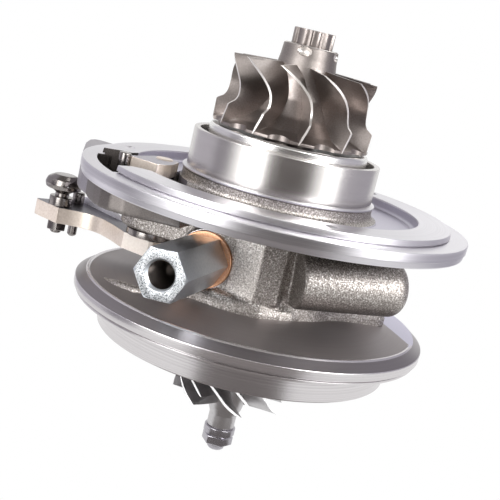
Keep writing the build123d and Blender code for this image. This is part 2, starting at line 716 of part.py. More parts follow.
with BuildPart() as backplate_screws:
    for index in range(SCREW_COUNT):
        x, y = polar(SCREW_PCD_R, 45 + 360 / SCREW_COUNT * index)
        add(turned([
            (0, SCREW_TOP),
            (SCREW_R, SCREW_TOP),
            (SCREW_R, SPIGOT_BOTTOM + SCREW_HEAD_R - SCREW_R),
            (SCREW_HEAD_R - SCREW_SUNK, SPIGOT_BOTTOM + SCREW_SUNK),
            (SCREW_SOCKET_R, SPIGOT_BOTTOM + SCREW_SUNK),
            (SCREW_SOCKET_R, SPIGOT_BOTTOM + SCREW_SUNK + SCREW_SOCKET_DEPTH),
            (0, SPIGOT_BOTTOM + SCREW_SUNK + SCREW_SOCKET_DEPTH),
        ], x, y))
save(backplate_screws, "backplate_screws")


def piston_ring(outer, inner, middle, height, name):
    """Split sealing ring."""
    with BuildPart() as ring:
        with BuildSketch(Plane.XY.offset(middle - height / 2)):
            Circle(outer)
            Circle(inner, mode=Mode.SUBTRACT)
            with Locations((0, outer)):
                Rectangle(RING_SPLIT, 2 * outer - 2 * inner + 1, mode=Mode.SUBTRACT)
        extrude(amount=height)
    save(ring, name)


piston_ring(SEAL_BORE_R, TURBINE_RING_IN_R, TURBINE_RING_Z, TURBINE_RING_H, "turbine_piston_ring")
piston_ring(COMP_SEAL_BORE_R, COMP_RING_IN_R, COMP_RING_Z, COMP_RING_H, "compressor_piston_ring")

# Shaft from the weld under the turbine wheel to the threaded compressor end
turbine_groove_r = TURBINE_RING_IN_R - RING_FLOOR_GAP
turbine_groove_half = TURBINE_RING_H / 2 + RING_SIDE_GAP
export(turned([
    (0, WELD_Z),
    (SEAL_HEAD_R, WELD_Z),
    (SEAL_HEAD_R, TURBINE_RING_Z + turbine_groove_half),
    (turbine_groove_r, TURBINE_RING_Z + turbine_groove_half),
    (turbine_groove_r, TURBINE_RING_Z - turbine_groove_half),
    (SEAL_HEAD_R, TURBINE_RING_Z - turbine_groove_half),
    (SEAL_HEAD_R, SCAVENGE_TOP),
    (JOURNAL_R + 1.4, SCAVENGE_TOP - 2.2),
    (JOURNAL_R, BEARING_TOP + 1.4),
    (JOURNAL_R, SHAFT_STEP_Z),
    (SHAFT_THIN_R, SHAFT_STEP_Z),
    (SHAFT_THIN_R, SHAFT_END + 0.6),
    (SHAFT_THIN_R - 0.6, SHAFT_END),
    (0, SHAFT_END),
]), "turbine_shaft")

# Turbine wheel: hub, scalloped back disc, twisted blades and lobed nose
with BuildPart() as turbine_wheel:
    add(turned([
        (0, WELD_Z),
        (SEAL_HEAD_R, WELD_Z),
        (SEAL_HEAD_R, TURBINE_BACK - 0.4),
        (SEAL_HEAD_R + 0.6, TURBINE_BACK),
        (TURBINE_R - BACK_DISC_IN, TURBINE_BACK),
        (TURBINE_R - BACK_DISC_IN, TURBINE_BACK + 1.0),
        *TURBINE_HUB_LINE,
        (HUB_BOSS_R, HUB_BOSS_Z),
        (HUB_BOSS_R - 0.7, HUB_TOP - 0.4),
        (HUB_BOSS_R - 1.1, HUB_TOP),
        (0, HUB_TOP),
    ]))
    with BuildSketch(Plane.XY.offset(TURBINE_BACK - 0.2)):
        with PolarLocations(SCALLOP_PCD_R, TURBINE_BLADES, start_angle=TURBINE_START - 2 + 180 / TURBINE_BLADES):
            Circle(SCALLOP_R)
    extrude(amount=4.0, mode=Mode.SUBTRACT)
    with BuildSketch(Plane.XY.offset(HUB_TOP - 0.5)):
        Circle(NOSE_DRIVE_R)
        with PolarLocations(NOSE_DRIVE_R + 0.4, NOSE_LOBES, start_angle=NOSE_TURN + 180 / NOSE_LOBES):
            Circle(NOSE_GROOVE_R, mode=Mode.SUBTRACT)
    extrude(amount=NOSE_DRIVE_TOP - HUB_TOP + 0.5)
    # Cuts that balance the wheel
    for angle, height in BALANCE_CUTS:
        x, y = polar(BALANCE_CUTTER_OUT, angle)
        add(turned([
            (0, height + BALANCE_CUTTER_H),
            (0.67 * BALANCE_CUTTER_R, height + 0.8 * BALANCE_CUTTER_H),
            (BALANCE_CUTTER_R, height),
            (0.67 * BALANCE_CUTTER_R, height - 0.8 * BALANCE_CUTTER_H),
            (0, height - BALANCE_CUTTER_H),
        ], x, y), mode=Mode.SUBTRACT)
    turbine_blade = blade([(z, a, b, TURBINE_START + turn) for z, a, b, turn in TURBINE_ROWS], TURBINE_BLADE_T)
    for index in range(TURBINE_BLADES):
        add(turbine_blade.rotate(Axis.Z, 360 / TURBINE_BLADES * index))
save(turbine_wheel, "turbine_wheel")

# Compressor wheel: hub, full blades and splitters
with BuildPart() as compressor_wheel:
    add(turned([
        (SHAFT_THIN_R, COMP_BACK),
        (COMP_R - BACK_DISC_IN, COMP_BACK),
        (COMP_R - BACK_DISC_IN, COMP_BACK - 0.9),
        *COMP_HUB_LINE,
        (COMP_HUB_NOSE_R, COMP_HUB_NOSE_Z),
        (COMP_HUB_NOSE_R, COMP_NOSE),
        (SHAFT_THIN_R, COMP_NOSE),
    ]))
    comp_blade = blade([(z, a, b, COMP_START + turn) for z, a, b, turn in COMP_FULL_ROWS], COMP_BLADE_T)
    splitter_start = COMP_START + 180 / COMP_BLADES
    comp_splitter = blade([(z, a, b, splitter_start + turn) for z, a, b, turn in COMP_SPLITTER_ROWS], COMP_BLADE_T)
    for index in range(COMP_BLADES):
        add(comp_blade.rotate(Axis.Z, 360 / COMP_BLADES * index))
        add(comp_splitter.rotate(Axis.Z, 360 / COMP_BLADES * index))
save(compressor_wheel, "compressor_wheel")

# Compressor nut: a hexagon with turned corners, a groove and a round washer band
with BuildPart() as compressor_nut:
    with BuildSketch(Plane.XY.offset(NUT_BOTTOM)):
        RegularPolygon(NUT_R, 6)
    extrude(amount=NUT_GROOVE_Z - NUT_GROOVE_HALF - NUT_BOTTOM)
    add(turned([
        (SHAFT_THIN_R, NUT_GROOVE_Z),
        (NUT_R, NUT_GROOVE_Z),
        (NUT_R, NUT_BOTTOM + NUT_EDGE),
        (NUT_R - NUT_EDGE, NUT_BOTTOM),
        (SHAFT_THIN_R, NUT_BOTTOM),
    ]), mode=Mode.INTERSECT)
    add(turned([
        (SHAFT_THIN_R, NUT_GROOVE_Z - NUT_GROOVE_HALF),
        (NUT_R - NUT_GROOVE_DEPTH, NUT_GROOVE_Z - NUT_GROOVE_HALF),
        (NUT_R - NUT_GROOVE_DEPTH, NUT_GROOVE_Z + NUT_GROOVE_HALF),
        (NUT_R, NUT_GROOVE_Z + NUT_GROOVE_HALF),
        (NUT_R, COMP_NOSE - NUT_EDGE),
        (NUT_R - NUT_EDGE, COMP_NOSE),
        (SHAFT_THIN_R, COMP_NOSE),
    ]))
save(compressor_nut, "compressor_nut")

# Oil inlet adapter and its sealing washer
washer_outside = INLET_FACE - WASHER_T
hex_length = washer_outside - HEX_END
hex_stock = turned([
    (0, 0),
    (HEX_EDGE_R, 0),
    (HEX_EDGE_R + HEX_EDGE_W, HEX_EDGE),
    (HEX_EDGE_R + HEX_EDGE_W, hex_length - HEX_EDGE),
    (HEX_EDGE_R, hex_length),
    (0, hex_length),
])
with BuildPart() as oil_inlet_fitting:
    with BuildSketch(Plane(origin=(INLET_X, HEX_END, INLET_Z), x_dir=(1, 0, 0), z_dir=(0, -1, 0))):
        RegularPolygon(HEX_FLATS / 2, 6, major_radius=False, rotation=HEX_TURN)
    extrude(amount=-hex_length)
    # Corners of the hexagon turned off at both ends
    add(hex_stock.moved(Location((INLET_X, washer_outside, INLET_Z), (90, 0, 0))), mode=Mode.INTERSECT)
    add(rod(THREAD_R, (INLET_X, washer_outside, INLET_Z), (INLET_X, THREAD_END, INLET_Z)))
    add(rod(INLET_BORE_R, (INLET_X, HEX_END + INLET_BORE_DEPTH, INLET_Z), (INLET_X, HEX_END - 1, INLET_Z)),
        mode=Mode.SUBTRACT)
    add(rod(OIL_WAY_R, (INLET_X, THREAD_END + 1, INLET_Z), (INLET_X, HEX_END - 1, INLET_Z)), mode=Mode.SUBTRACT)
    with Locations(Location((INLET_X, HEX_END + 0.45, INLET_Z), (90, 0, 0))):
        Cone(INLET_BORE_R, INLET_SINK_R, 0.9, mode=Mode.SUBTRACT)
save(oil_inlet_fitting, "oil_inlet_fitting")
with BuildPart() as copper_washer:
    with BuildSketch(Plane(origin=(INLET_X, INLET_FACE, INLET_Z), x_dir=(1, 0, 0), z_dir=(0, -1, 0))):
        Circle(WASHER_R)
        Circle(THREAD_R + WASHER_CLEARANCE, mode=Mode.SUBTRACT)
    extrude(amount=WASHER_T)
save(copper_washer, "copper_washer")

# Lever shaft, its two bushes, the lever below and the crank above
upper_bush = turned([
    (LEVER_SHAFT_R + BUSH_GAP, POCKET_FLOOR),
    (BUSH_R, POCKET_FLOOR),
    (BUSH_R, BUSH_SPLIT_Z + 0.5),
    (LEVER_SHAFT_R + BUSH_GAP, BUSH_SPLIT_Z + 0.5),
], LEVER_X, LEVER_Y)
export(upper_bush, "upper_lever_bush")
lower_bush = turned([
    (LEVER_SHAFT_R + BUSH_GAP, BUSH_SPLIT_Z),
    (BUSH_R, BUSH_SPLIT_Z),
    (BUSH_R, BOSS_BOTTOM),
    (BUSH_NECK_R, BOSS_BOTTOM),
    (BUSH_NECK_R, BUSH_FLANGE_TOP),
    (BUSH_FLANGE_R, BUSH_FLANGE_TOP),
    (BUSH_FLANGE_R, LEVER_TOP + LEVER_GAP),
    (LEVER_SHAFT_R + BUSH_GAP, LEVER_TOP + LEVER_GAP),
], LEVER_X, LEVER_Y)
export(lower_bush, "lower_lever_bush")
lever_shaft = turned([
    (0, CRANK_TOP + 0.4),
    (LEVER_SHAFT_R - 1.2, CRANK_TOP + 0.4),
    (LEVER_EYE_R, CRANK_TOP),
    (LEVER_EYE_R, CRANK_HUB_BOTTOM),
    (LEVER_SHAFT_R, CRANK_HUB_BOTTOM),
    (LEVER_SHAFT_R, LEVER_TOP),
    (LEVER_EYE_R, LEVER_TOP),
    (LEVER_EYE_R, LEVER_BOTTOM - 0.4),
    (0, LEVER_BOTTOM - 0.4),
], LEVER_X, LEVER_Y)
export(lever_shaft, "lever_shaft")

with BuildPart() as control_lever:
    with BuildSketch(Plane.XY.offset(LEVER_BOTTOM)):
        with BuildLine():
            Spline(*LEVER_NEAR_SIDE)
            Polyline(LEVER_NEAR_SIDE[-1], *LEVER_END, LEVER_FAR_SIDE[0])
            Spline(*LEVER_FAR_SIDE)
            Line(LEVER_FAR_SIDE[-1], LEVER_NEAR_SIDE[0])
        make_face()
        with Locations((LEVER_X, LEVER_Y)):
            Circle(LEVER_HUB_R)
            Circle(LEVER_EYE_R, mode=Mode.SUBTRACT)
        with Locations((STUD_X, STUD_Y)):
            Circle(STUD_SHANK_R, mode=Mode.SUBTRACT)
        with Locations((STOP_X, STOP_Y)):
            Circle(STOP_R, mode=Mode.SUBTRACT)
    extrude(amount=LEVER_TOP - LEVER_BOTTOM)
    for face in (control_lever.faces().sort_by(Axis.Z)[0], control_lever.faces().sort_by(Axis.Z)[-1]):
        chamfer(face.outer_wire().edges(), LEVER_EDGE)
save(control_lever, "control_lever")

with BuildPart() as crank_arm:
    with BuildSketch(Plane.XY.offset(CRANK_TOP - CRANK_T)):
        with BuildLine():
            Polyline(
                (LEVER_X - CRANK_HUB_R, LEVER_Y),
                (CRANK_PIN_X + 1.0, CRANK_PIN_Y + 5.0),
                (CRANK_PIN_X, CRANK_PIN_Y),
                (LEVER_X + 4.6, CRANK_PIN_Y - 1.1),
                (LEVER_X + 6.4, LEVER_Y - 7.0),
                (LEVER_X + CRANK_HUB_R, LEVER_Y),
                close=True,
            )
        make_face()
        with Locations((LEVER_X, LEVER_Y)):
            Circle(CRANK_HUB_R)
    extrude(amount=CRANK_T)
    add(rod(CRANK_HUB_R, (LEVER_X, LEVER_Y, CRANK_HUB_BOTTOM), (LEVER_X, LEVER_Y, CRANK_TOP)))
    chamfer(crank_arm.faces().sort_by(Axis.Z)[-1].outer_wire().edges(), CRANK_EDGE)
    add(rod(LEVER_EYE_R, (LEVER_X, LEVER_Y, CRANK_HUB_BOTTOM - 1), (LEVER_X, LEVER_Y, CRANK_TOP + 1)),
        mode=Mode.SUBTRACT)
    add(rod(CRANK_PIN_R, (CRANK_PIN_X, CRANK_PIN_Y, CRANK_TOP - CRANK_T - 1),
            (CRANK_PIN_X, CRANK_PIN_Y, CRANK_TOP + 1)), mode=Mode.SUBTRACT)
save(crank_arm, "crank_arm")
export(turned([
    (0, CRANK_TOP - CRANK_T),
    (CRANK_PIN_R, CRANK_TOP - CRANK_T),
    (CRANK_PIN_R, CRANK_TOP + CRANK_PIN_UP - 0.7),
    (CRANK_PIN_R - 0.6, CRANK_TOP + CRANK_PIN_UP - 0.1),
    (0, CRANK_TOP + CRANK_PIN_UP),
], CRANK_PIN_X, CRANK_PIN_Y), "crank_pin")

# Ball stud for the actuator rod, its nut, and the stop pin
export(turned([
    (0, STUD_HEAD_TOP),
    (STUD_HEAD_R / 2, STUD_HEAD_TOP),
    (STUD_HEAD_R - 0.9, STUD_HEAD_TOP - 1.4),
    (STUD_HEAD_R, STUD_HEAD_TOP - 3.4),
    (STUD_HEAD_R - 0.5, STUD_HEAD_TOP - 5.2),
    (STUD_HEAD_R - 2.4, STUD_HEAD_TOP - 5.6),
    (STUD_NECK_R, STUD_HEAD_TOP - 7.0),
    (STUD_NECK_R, LEVER_TOP + STUD_COLLAR_H),
    (STUD_BASE_R, LEVER_TOP + STUD_COLLAR_H),
    (STUD_BASE_R, LEVER_TOP),
    (STUD_SHANK_R, LEVER_TOP),
    (STUD_SHANK_R, STUD_END + 0.4),
    (STUD_SHANK_R - 0.4, STUD_END),
    (0, STUD_END),
], STUD_X, STUD_Y), "ball_stud")
with BuildPart() as ball_stud_nut:
    with BuildSketch(Plane.XY.offset(LEVER_BOTTOM - STUD_NUT_H)):
        with Locations((STUD_X, STUD_Y)):
            RegularPolygon(STUD_NUT_FLATS / 2, 6, major_radius=False)
            Circle(STUD_SHANK_R, mode=Mode.SUBTRACT)
    extrude(amount=STUD_NUT_H)
save(ball_stud_nut, "ball_stud_nut")
export(turned([
    (0, STOP_TOP),
    (STOP_HEAD_R - 0.8, STOP_TOP),
    (STOP_HEAD_R, STOP_TOP - 0.8),
    (STOP_HEAD_R, LEVER_TOP),
    (STOP_R, LEVER_TOP),
    (STOP_R, STOP_END + 1.2),
    (STOP_R - 0.9, STOP_END),
    (0, STOP_END),
], STOP_X, STOP_Y), "stop_pin")
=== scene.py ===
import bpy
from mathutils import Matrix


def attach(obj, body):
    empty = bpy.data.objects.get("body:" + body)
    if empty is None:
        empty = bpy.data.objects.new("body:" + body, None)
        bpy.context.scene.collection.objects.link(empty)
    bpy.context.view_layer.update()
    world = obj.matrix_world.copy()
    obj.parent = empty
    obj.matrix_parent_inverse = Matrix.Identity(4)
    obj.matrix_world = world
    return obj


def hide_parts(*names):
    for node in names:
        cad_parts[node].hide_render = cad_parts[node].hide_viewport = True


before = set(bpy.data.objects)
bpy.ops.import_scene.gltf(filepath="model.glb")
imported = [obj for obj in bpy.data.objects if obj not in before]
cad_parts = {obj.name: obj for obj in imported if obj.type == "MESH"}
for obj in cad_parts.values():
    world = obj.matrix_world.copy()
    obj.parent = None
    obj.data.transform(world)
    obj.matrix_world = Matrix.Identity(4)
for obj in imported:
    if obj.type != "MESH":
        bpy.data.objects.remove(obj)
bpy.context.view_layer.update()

import math

import bmesh
import bpy
import numpy as np
from mathutils import Matrix, Vector

# Turbo cartridge on a plain studio floor. All sizes are millimetres in the CAD frame and turn to
# metres where a mesh is made. Z is the shaft axis, and z = 0 is the turbine flange's upper face.
MM = 0.001

# Turbine flange and collar
FLANGE_R = 70.0
LAND_OUTER_R = 63.3
LAND_INNER_R = 51.6
LAND_TOP = 2.3
RECESS_FLOOR = -1.8
FLANGE_BOTTOM = -5.3
LAND_HOLE_R = 1.6
LAND_HOLE_RING = 57.5
LAND_HOLE_ANGLES = (-54.0, 66.0, 186.0)
COLLAR_R = 33.7
COLLAR_BORE_R = 31.6
COLLAR_TOP = 17.6
SHOULDER_R = 35.1
SHOULDER_TOP = 3.9
LEDGE_TOP = 10.0
NECK_BORE_R = 31.0
NECK_FLARE_R = 37.4

# Neck and disc
NECK_R = 33.5
DISH_OUTER_R = 60.85
DISH_EDGE_Z = -40.0
DISC_R = 64.3
DISC_SHOULDER_Z = -42.4
DISC_BOTTOM = -45.35
BEAD_TOP = -39.4
FOOT_R = 37.4
FOOT_BOTTOM = -38.6
REAR_FLAT_Z = -39.9

# Compressor backplate
GROOVE_R = 62.6
LIP_R = 63.3
LIP_TOP = -46.0
LIP_BOTTOM = -46.9
SPIGOT_R = 53.6
SPIGOT_END = -57.4

# Heat shield
SHIELD_TOP = 19.4
SHIELD_BEAD_TOP = 20.3
SHIELD_R = 28.7
SHIELD_SHEET_T = 0.8

# Oil inlet along -Y and oil drain along +Y
INLET_X = -8.9
INLET_Z = -23.0
INLET_FACE = -32.8
SPOT_FACE_R = 10.1
WASHER_T = 1.6
WASHER_R = 9.9
WASHER_BORE_R = 7.1
HEX_FLATS = 16.0
HEX_END = -68.7
HEX_TURN = -4.4
THREAD_MINOR_R = 4.2
THREAD_MAJOR_R = 4.55
THREAD_TURNS = 13
HOLE_DEPTH = 26.0
MOUTH_R = 5.2
DRAIN_FACE = 36.0
DRAIN_Z = -20.5
DRAIN_R = 9.0
DRAIN_SCREW_R = 3.4
DRAIN_SCREW_X = 19.5
DRAIN_PAD_X = 27.0
DRAIN_PAD_Z = 13.0

# Closed side boss
SIDE_BOSS_R = 9.6
SIDE_BOSS_LENGTH = 38.4
SIDE_BOSS_ROUND = 5.0

# Lever, its boss and its shaft
LEVER_X = -37.6
LEVER_Y = -17.5
LEVER_TOP = -25.1
LEVER_BOTTOM = -31.0
LEVER_HUB_R = 8.2
SHAFT_HOLE_R = 4.04
BUSH_R = 7.0
BUSH_FLANGE_R = 8.2
BOSS_R = 10.8
BOSS_BOTTOM = -21.8
POCKET_FLOOR = -8.5
POCKET_CUT_TOP = 6.0
POD_TOP = -4.8
POD_BOTTOM = -12.5
STUD_X = -77.3
STUD_Y = -12.7
STOP_X = -76.0
STOP_Y = -2.0
CRANK_PIN_X = -46.4
CRANK_PIN_Y = -30.9
CRANK_BOTTOM = -1.7
CRANK_TOP = 3.3

# Rotor
TURBINE_BLADES = 11
TURBINE_START = -61.7
COMP_BLADES = 7
COMP_START = -54.8
NUT_R = 5.9
NUT_TOP = -90.9
SHAFT_R = 3.2


def srgb(code):
    """Linear RGBA of an sRGB hex value."""
    parts = [int(code[i:i + 2], 16) / 255 for i in (1, 3, 5)]
    return [c / 12.92 if c <= 0.04045 else ((c + 0.055) / 1.055) ** 2.4 for c in parts] + [1.0]


def polar(radius, angle):
    """Point at a radius and an angle in degrees round the shaft axis."""
    return (radius * math.cos(math.radians(angle)), radius * math.sin(math.radians(angle)))


# Materials
def add_node(tree, kind, inputs=None, **settings):
    """A node with its settings, and its inputs set to values or linked to sockets."""
    made = tree.nodes.new(kind)
    for key, value in settings.items():
        setattr(made, key, value)
    for key, value in (inputs or {}).items():
        if isinstance(value, bpy.types.NodeSocket):
            tree.links.new(value, made.inputs[key])
        else:
            made.inputs[key].default_value = value
    return made


def start_material(name, **shader):
    """A material with one Principled shader, and its tree."""
    made = bpy.data.materials.new(name)
    made.use_nodes = True
    bsdf = made.node_tree.nodes["Principled BSDF"]
    for key, value in shader.items():
        bsdf.inputs[key.replace("_", " ")].default_value = value
    return made, made.node_tree, bsdf


def sand_cast_iron(name, proud, skin, low):
    """Grey cast iron as it leaves the sand: brown-grey skin with half-millimetre grit that glints where it is
    proud, and painted shade that darkens the faces looking down."""
    made, tree, bsdf = start_material(name, Metallic=0.9)
    place = add_node(tree, "ShaderNodeTexCoord").outputs["Object"]
    grit = add_node(tree, "ShaderNodeTexNoise", {
        "Vector": place, "Scale": 1 / (0.5 * MM), "Detail": 3.0, "Roughness": 0.6})
    lumps = add_node(tree, "ShaderNodeTexNoise", {"Vector": place, "Scale": 1 / (6.0 * MM), "Detail": 2.0})
    normal = add_node(tree, "ShaderNodeNewGeometry").outputs["Normal"]
    facing = add_node(tree, "ShaderNodeSeparateXYZ", {"Vector": normal})
    # Painted shade: faces that look down are pushed towards the dark tone
    painted_underside_shade = add_node(tree, "ShaderNodeMapRange", {
        "Value": facing.outputs["Z"], "From Min": -0.9, "From Max": -0.1, "To Min": -0.18, "To Max": 0.0})
    share = add_node(tree, "ShaderNodeMath", {0: grit.outputs["Fac"], 1: painted_underside_shade.outputs["Result"]},
                     operation="ADD")
    tone = add_node(tree, "ShaderNodeValToRGB", {"Fac": share.outputs["Value"]})
    tone.color_ramp.elements[0].position = 0.36
    tone.color_ramp.elements[0].color = srgb(low)
    tone.color_ramp.elements[1].position = 0.7
    tone.color_ramp.elements[1].color = srgb(proud)
    tone.color_ramp.elements.new(0.56).color = srgb(skin)
    tree.links.new(tone.outputs["Color"], bsdf.inputs["Base Color"])
    matt = add_node(tree, "ShaderNodeMapRange", {
        "Value": grit.outputs["Fac"], "From Min": 0.35, "From Max": 0.7, "To Min": 0.5, "To Max": 0.3})
    tree.links.new(matt.outputs["Result"], bsdf.inputs["Roughness"])
    fine = add_node(tree, "ShaderNodeBump", {
        "Height": grit.outputs["Fac"], "Strength": 0.8, "Distance": 0.16 * MM})
    waves = add_node(tree, "ShaderNodeBump", {
        "Height": lumps.outputs["Fac"], "Strength": 0.3, "Distance": 0.3 * MM,
        "Normal": fine.outputs["Normal"]})
    tree.links.new(waves.outputs["Normal"], bsdf.inputs["Normal"])
    return made


def turned_metal(name, light, dark, ring_mm, rough, stretch=0.6):
    """Metal cut on a lathe: faint fine rings round the shaft axis that draw the light out into bands."""
    made, tree, bsdf = start_material(name, Metallic=1.0, Anisotropic=stretch, Roughness=rough)
    place = add_node(tree, "ShaderNodeTexCoord").outputs["Object"]
    parts = add_node(tree, "ShaderNodeSeparateXYZ", {"Vector": place})
    flat = add_node(tree, "ShaderNodeCombineXYZ", {"X": parts.outputs["X"], "Y": parts.outputs["Y"]})
    radius = add_node(tree, "ShaderNodeVectorMath", {0: flat.outputs["Vector"]}, operation="LENGTH")
    section = add_node(tree, "ShaderNodeCombineXYZ", {"X": radius.outputs["Value"], "Y": parts.outputs["Z"]})
    rings = add_node(tree, "ShaderNodeTexNoise", {
        "Vector": section.outputs["Vector"], "Scale": 1 / (ring_mm * MM), "Detail": 4.0, "Roughness": 0.7,
    }, noise_dimensions="2D")
    tone = add_node(tree, "ShaderNodeMix", {
        "Factor": rings.outputs["Fac"], "A": srgb(dark), "B": srgb(light)}, data_type="RGBA")
    tree.links.new(tone.outputs["Result"], bsdf.inputs["Base Color"])
    round_axis = add_node(tree, "ShaderNodeTangent", direction_type="RADIAL", axis="Z")
    tree.links.new(round_axis.outputs["Tangent"], bsdf.inputs["Tangent"])
    return made


def plain_metal(name, light, dark, grain_mm, rough, low=0.3, high=0.7, **shader):
    """Metal with a fine even grain, from casting, blasting, plating or tumbling."""
    made, tree, bsdf = start_material(name, **{"Metallic": 1.0, **shader})
    place = add_node(tree, "ShaderNodeTexCoord").outputs["Object"]
    grain = add_node(tree, "ShaderNodeTexNoise", {
        "Vector": place, "Scale": 1 / (grain_mm * MM), "Detail": 3.0})
    share = add_node(tree, "ShaderNodeMapRange", {
        "Value": grain.outputs["Fac"], "From Min": low, "From Max": high})
    tone = add_node(tree, "ShaderNodeMix", {
        "Factor": share.outputs["Result"], "A": srgb(dark), "B": srgb(light)}, data_type="RGBA")
    tree.links.new(tone.outputs["Result"], bsdf.inputs["Base Color"])
    matt = add_node(tree, "ShaderNodeMapRange", {
        "Value": grain.outputs["Fac"], "From Min": 0.3, "From Max": 0.7, "To Min": rough + 0.03,
        "To Max": rough - 0.03})
    tree.links.new(matt.outputs["Result"], bsdf.inputs["Roughness"])
    return made


def moulded_rubber():
    """Black seal rubber from a mould: dull, with a faint half-millimetre mottle."""
    made, tree, bsdf = start_material("moulded_seal_rubber", Roughness=0.55)
    mottle = add_node(tree, "ShaderNodeTexNoise", {"Scale": 1 / (0.5 * MM)})
    tone = add_node(tree, "ShaderNodeMix", {"Factor": mottle.outputs["Fac"], "A": srgb("#1b1b1c"),
                                            "B": srgb("#262627")}, data_type="RGBA")
    tree.links.new(tone.outputs["Result"], bsdf.inputs["Base Color"])
    return made


# Grey iron cast in sand: a rough brown-grey skin with bright grit, and painted shade on faces looking down
CAST = sand_cast_iron("sand_cast_iron", "#f6f3f0", "#a8a29d", "#716b67")
# The same skin painted paler as painted light, for one facet that catches the light; the grit's tones lie
# closer together
CAST_PAINTED_LIGHT = sand_cast_iron("cast_iron_painted_light", "#fdfbf8", "#d9d3ce", "#9d9791")
# Turned iron with fresh tool rings: bright and slightly lavender, in soft bands
MACHINED = turned_metal("turned_cast_iron", "#e9e7eb", "#c0bec2", 0.3, 0.3)
# Blasted floor of the recess: an even soft grey without rings
RECESS_BLAST = plain_metal("blasted_recess_floor", "#c6c3ce", "#b7b4bf", 0.3, 0.42)
# Collar cut with a fine feed: the tallest and sharpest bands on the part
COLLAR_CUT = turned_metal("fine_turned_collar", "#dfdcda", "#c6c2bf", 0.25, 0.22, 0.7)
# Dish turned and then blasted: dull and even, with one broad soft shine
DISH_SATIN = turned_metal("turned_and_blasted_dish", "#a8a2a2", "#9a9494", 0.5, 0.52, 0.2)
# Rim and spigot cut with a sharp tool: bright, with thin rings
RIM_CUT = turned_metal("turned_rim", "#e6e3e4", "#c2bebf", 0.3, 0.24, 0.6)
# Bevel, turned: duller than the rim beside it, and painted darker as painted shade
BEVEL_PAINTED_SHADE = turned_metal("turned_bevel_painted_shade", "#9c9798", "#878283", 0.4, 0.32, 0.3)
# Milled flat on the dish: even pale lavender
REAR_CUT = plain_metal("milled_flat", "#c9c6d6", "#bdbaca", 0.3, 0.4)
# Milled side of the lug: satin and pale
LUG_SATIN = plain_metal("milled_lug_side", "#aba7ac", "#9b979c", 0.4, 0.42)
# Side of the pod under the flange: the same cut, painted darker as painted shade under the flange
POD_PAINTED_SHADE = plain_metal("milled_pod_side_painted_shade", "#857f7c", "#736e6b", 0.4, 0.44)
# Milled pocket wall, painted dark as painted shade inside the narrow pocket
POCKET_PAINTED_SHADE = plain_metal("pocket_wall_painted_shade", "#605b59", "#4c4846", 0.4, 0.5)
# Blades cast in nickel alloy: warm mid grey with a soft shine
NICKEL = plain_metal("cast_nickel_alloy", "#9c9490", "#8d8581", 0.5, 0.38)
# Hub boss: the same alloy painted a shade darker as painted shade, and duller
NICKEL_BOSS_PAINTED_SHADE = plain_metal("nickel_boss_painted_shade", "#958e8a", "#88817d", 0.5, 0.46)
# Blade tips and balance cuts ground to size, and painted near white as a painted highlight: thin bright lines
NICKEL_GROUND_AND_HIGHLIGHT = plain_metal("ground_nickel_edge_and_painted_highlight", "#e2deda", "#d2cdc9", 0.3, 0.4, Metallic=0.8)
# Pressed stainless sheet: the brightest ring, close to a mirror
SHIELD_SHEET = turned_metal("pressed_stainless_sheet", "#f0efed", "#dddbd9", 0.4, 0.24)
# Zinc plated hexagon bar: cool blue-grey with a soft gloss
ZINC = plain_metal("zinc_plated_steel", "#e2e7ec", "#d6dce2", 0.8, 0.34)
# The bar's faced end: pale, with dark scratches and pits
ZINC_FACE = plain_metal("faced_zinc_end", "#bdbfc1", "#4c5054", 0.36, 0.34, 0.42, 0.51)
# Copper annealed soft: pink-orange and satin
COPPER = plain_metal("annealed_copper", "#f2bf9b", "#dca27b", 0.5, 0.36)
# Thick plate sheared to outline: a pale warm edge
LEVER_STEEL = plain_metal("sheared_lever_edge", "#e6dacf", "#d6c9bc", 0.7, 0.32, Metallic=0.8)
# The same edge at the hub, painted near white as painted light
HUB_SIDE_PAINTED_LIGHT = plain_metal("sheared_hub_edge_painted_light", "#faf1e8", "#f0e6dc", 0.7, 0.36, Metallic=0.3)
# The plate's rolled face: smooth, painted mid grey as painted shade
LEVER_FACE_PAINTED_SHADE = plain_metal("rolled_lever_face_painted_shade", "#7f7c83", "#727076", 0.6, 0.38)
# The lever's pressed rib: satin, painted pale as painted light
RIB_FACE_PAINTED_LIGHT = plain_metal("pressed_rib_face_painted_light", "#efecf4", "#e2dfe7", 0.6, 0.42, Metallic=0.5)
# The crank arm's rolled face: smooth and paler than the lever's
CRANK_FACE = plain_metal("rolled_crank_face", "#b2afb6", "#a29fa6", 0.6, 0.38)
# Hardened and tumbled steel: dark, with small crisp highlights
DARK_STEEL = plain_metal("polished_dark_steel", "#9c9794", "#86817e", 0.4, 0.2)
# Phosphated nut and shaft end: even grey
NUT_STEEL = plain_metal("phosphated_nut_steel", "#bbb8be", "#a5a2a8", 0.4, 0.28)
# Cast aluminium compressor wheel: light neutral grey
WHEEL_ALLOY = plain_metal("cast_wheel_aluminium", "#cfcdce", "#bfbdbe", 0.4, 0.38)
# Its blade tips cut to size, and painted near white as a painted highlight: near white lines
WHEEL_EDGE_PAINTED_HIGHLIGHT = plain_metal("cut_wheel_edge_painted_highlight", "#fdfdfd", "#f6f6f6", 0.3, 0.5, Metallic=0.2)
# Bearing bronze, reamed: yellow and smooth
BRONZE = plain_metal("bearing_bronze", "#c9a765", "#b0924f", 0.3, 0.3)
RUBBER = moulded_rubber()


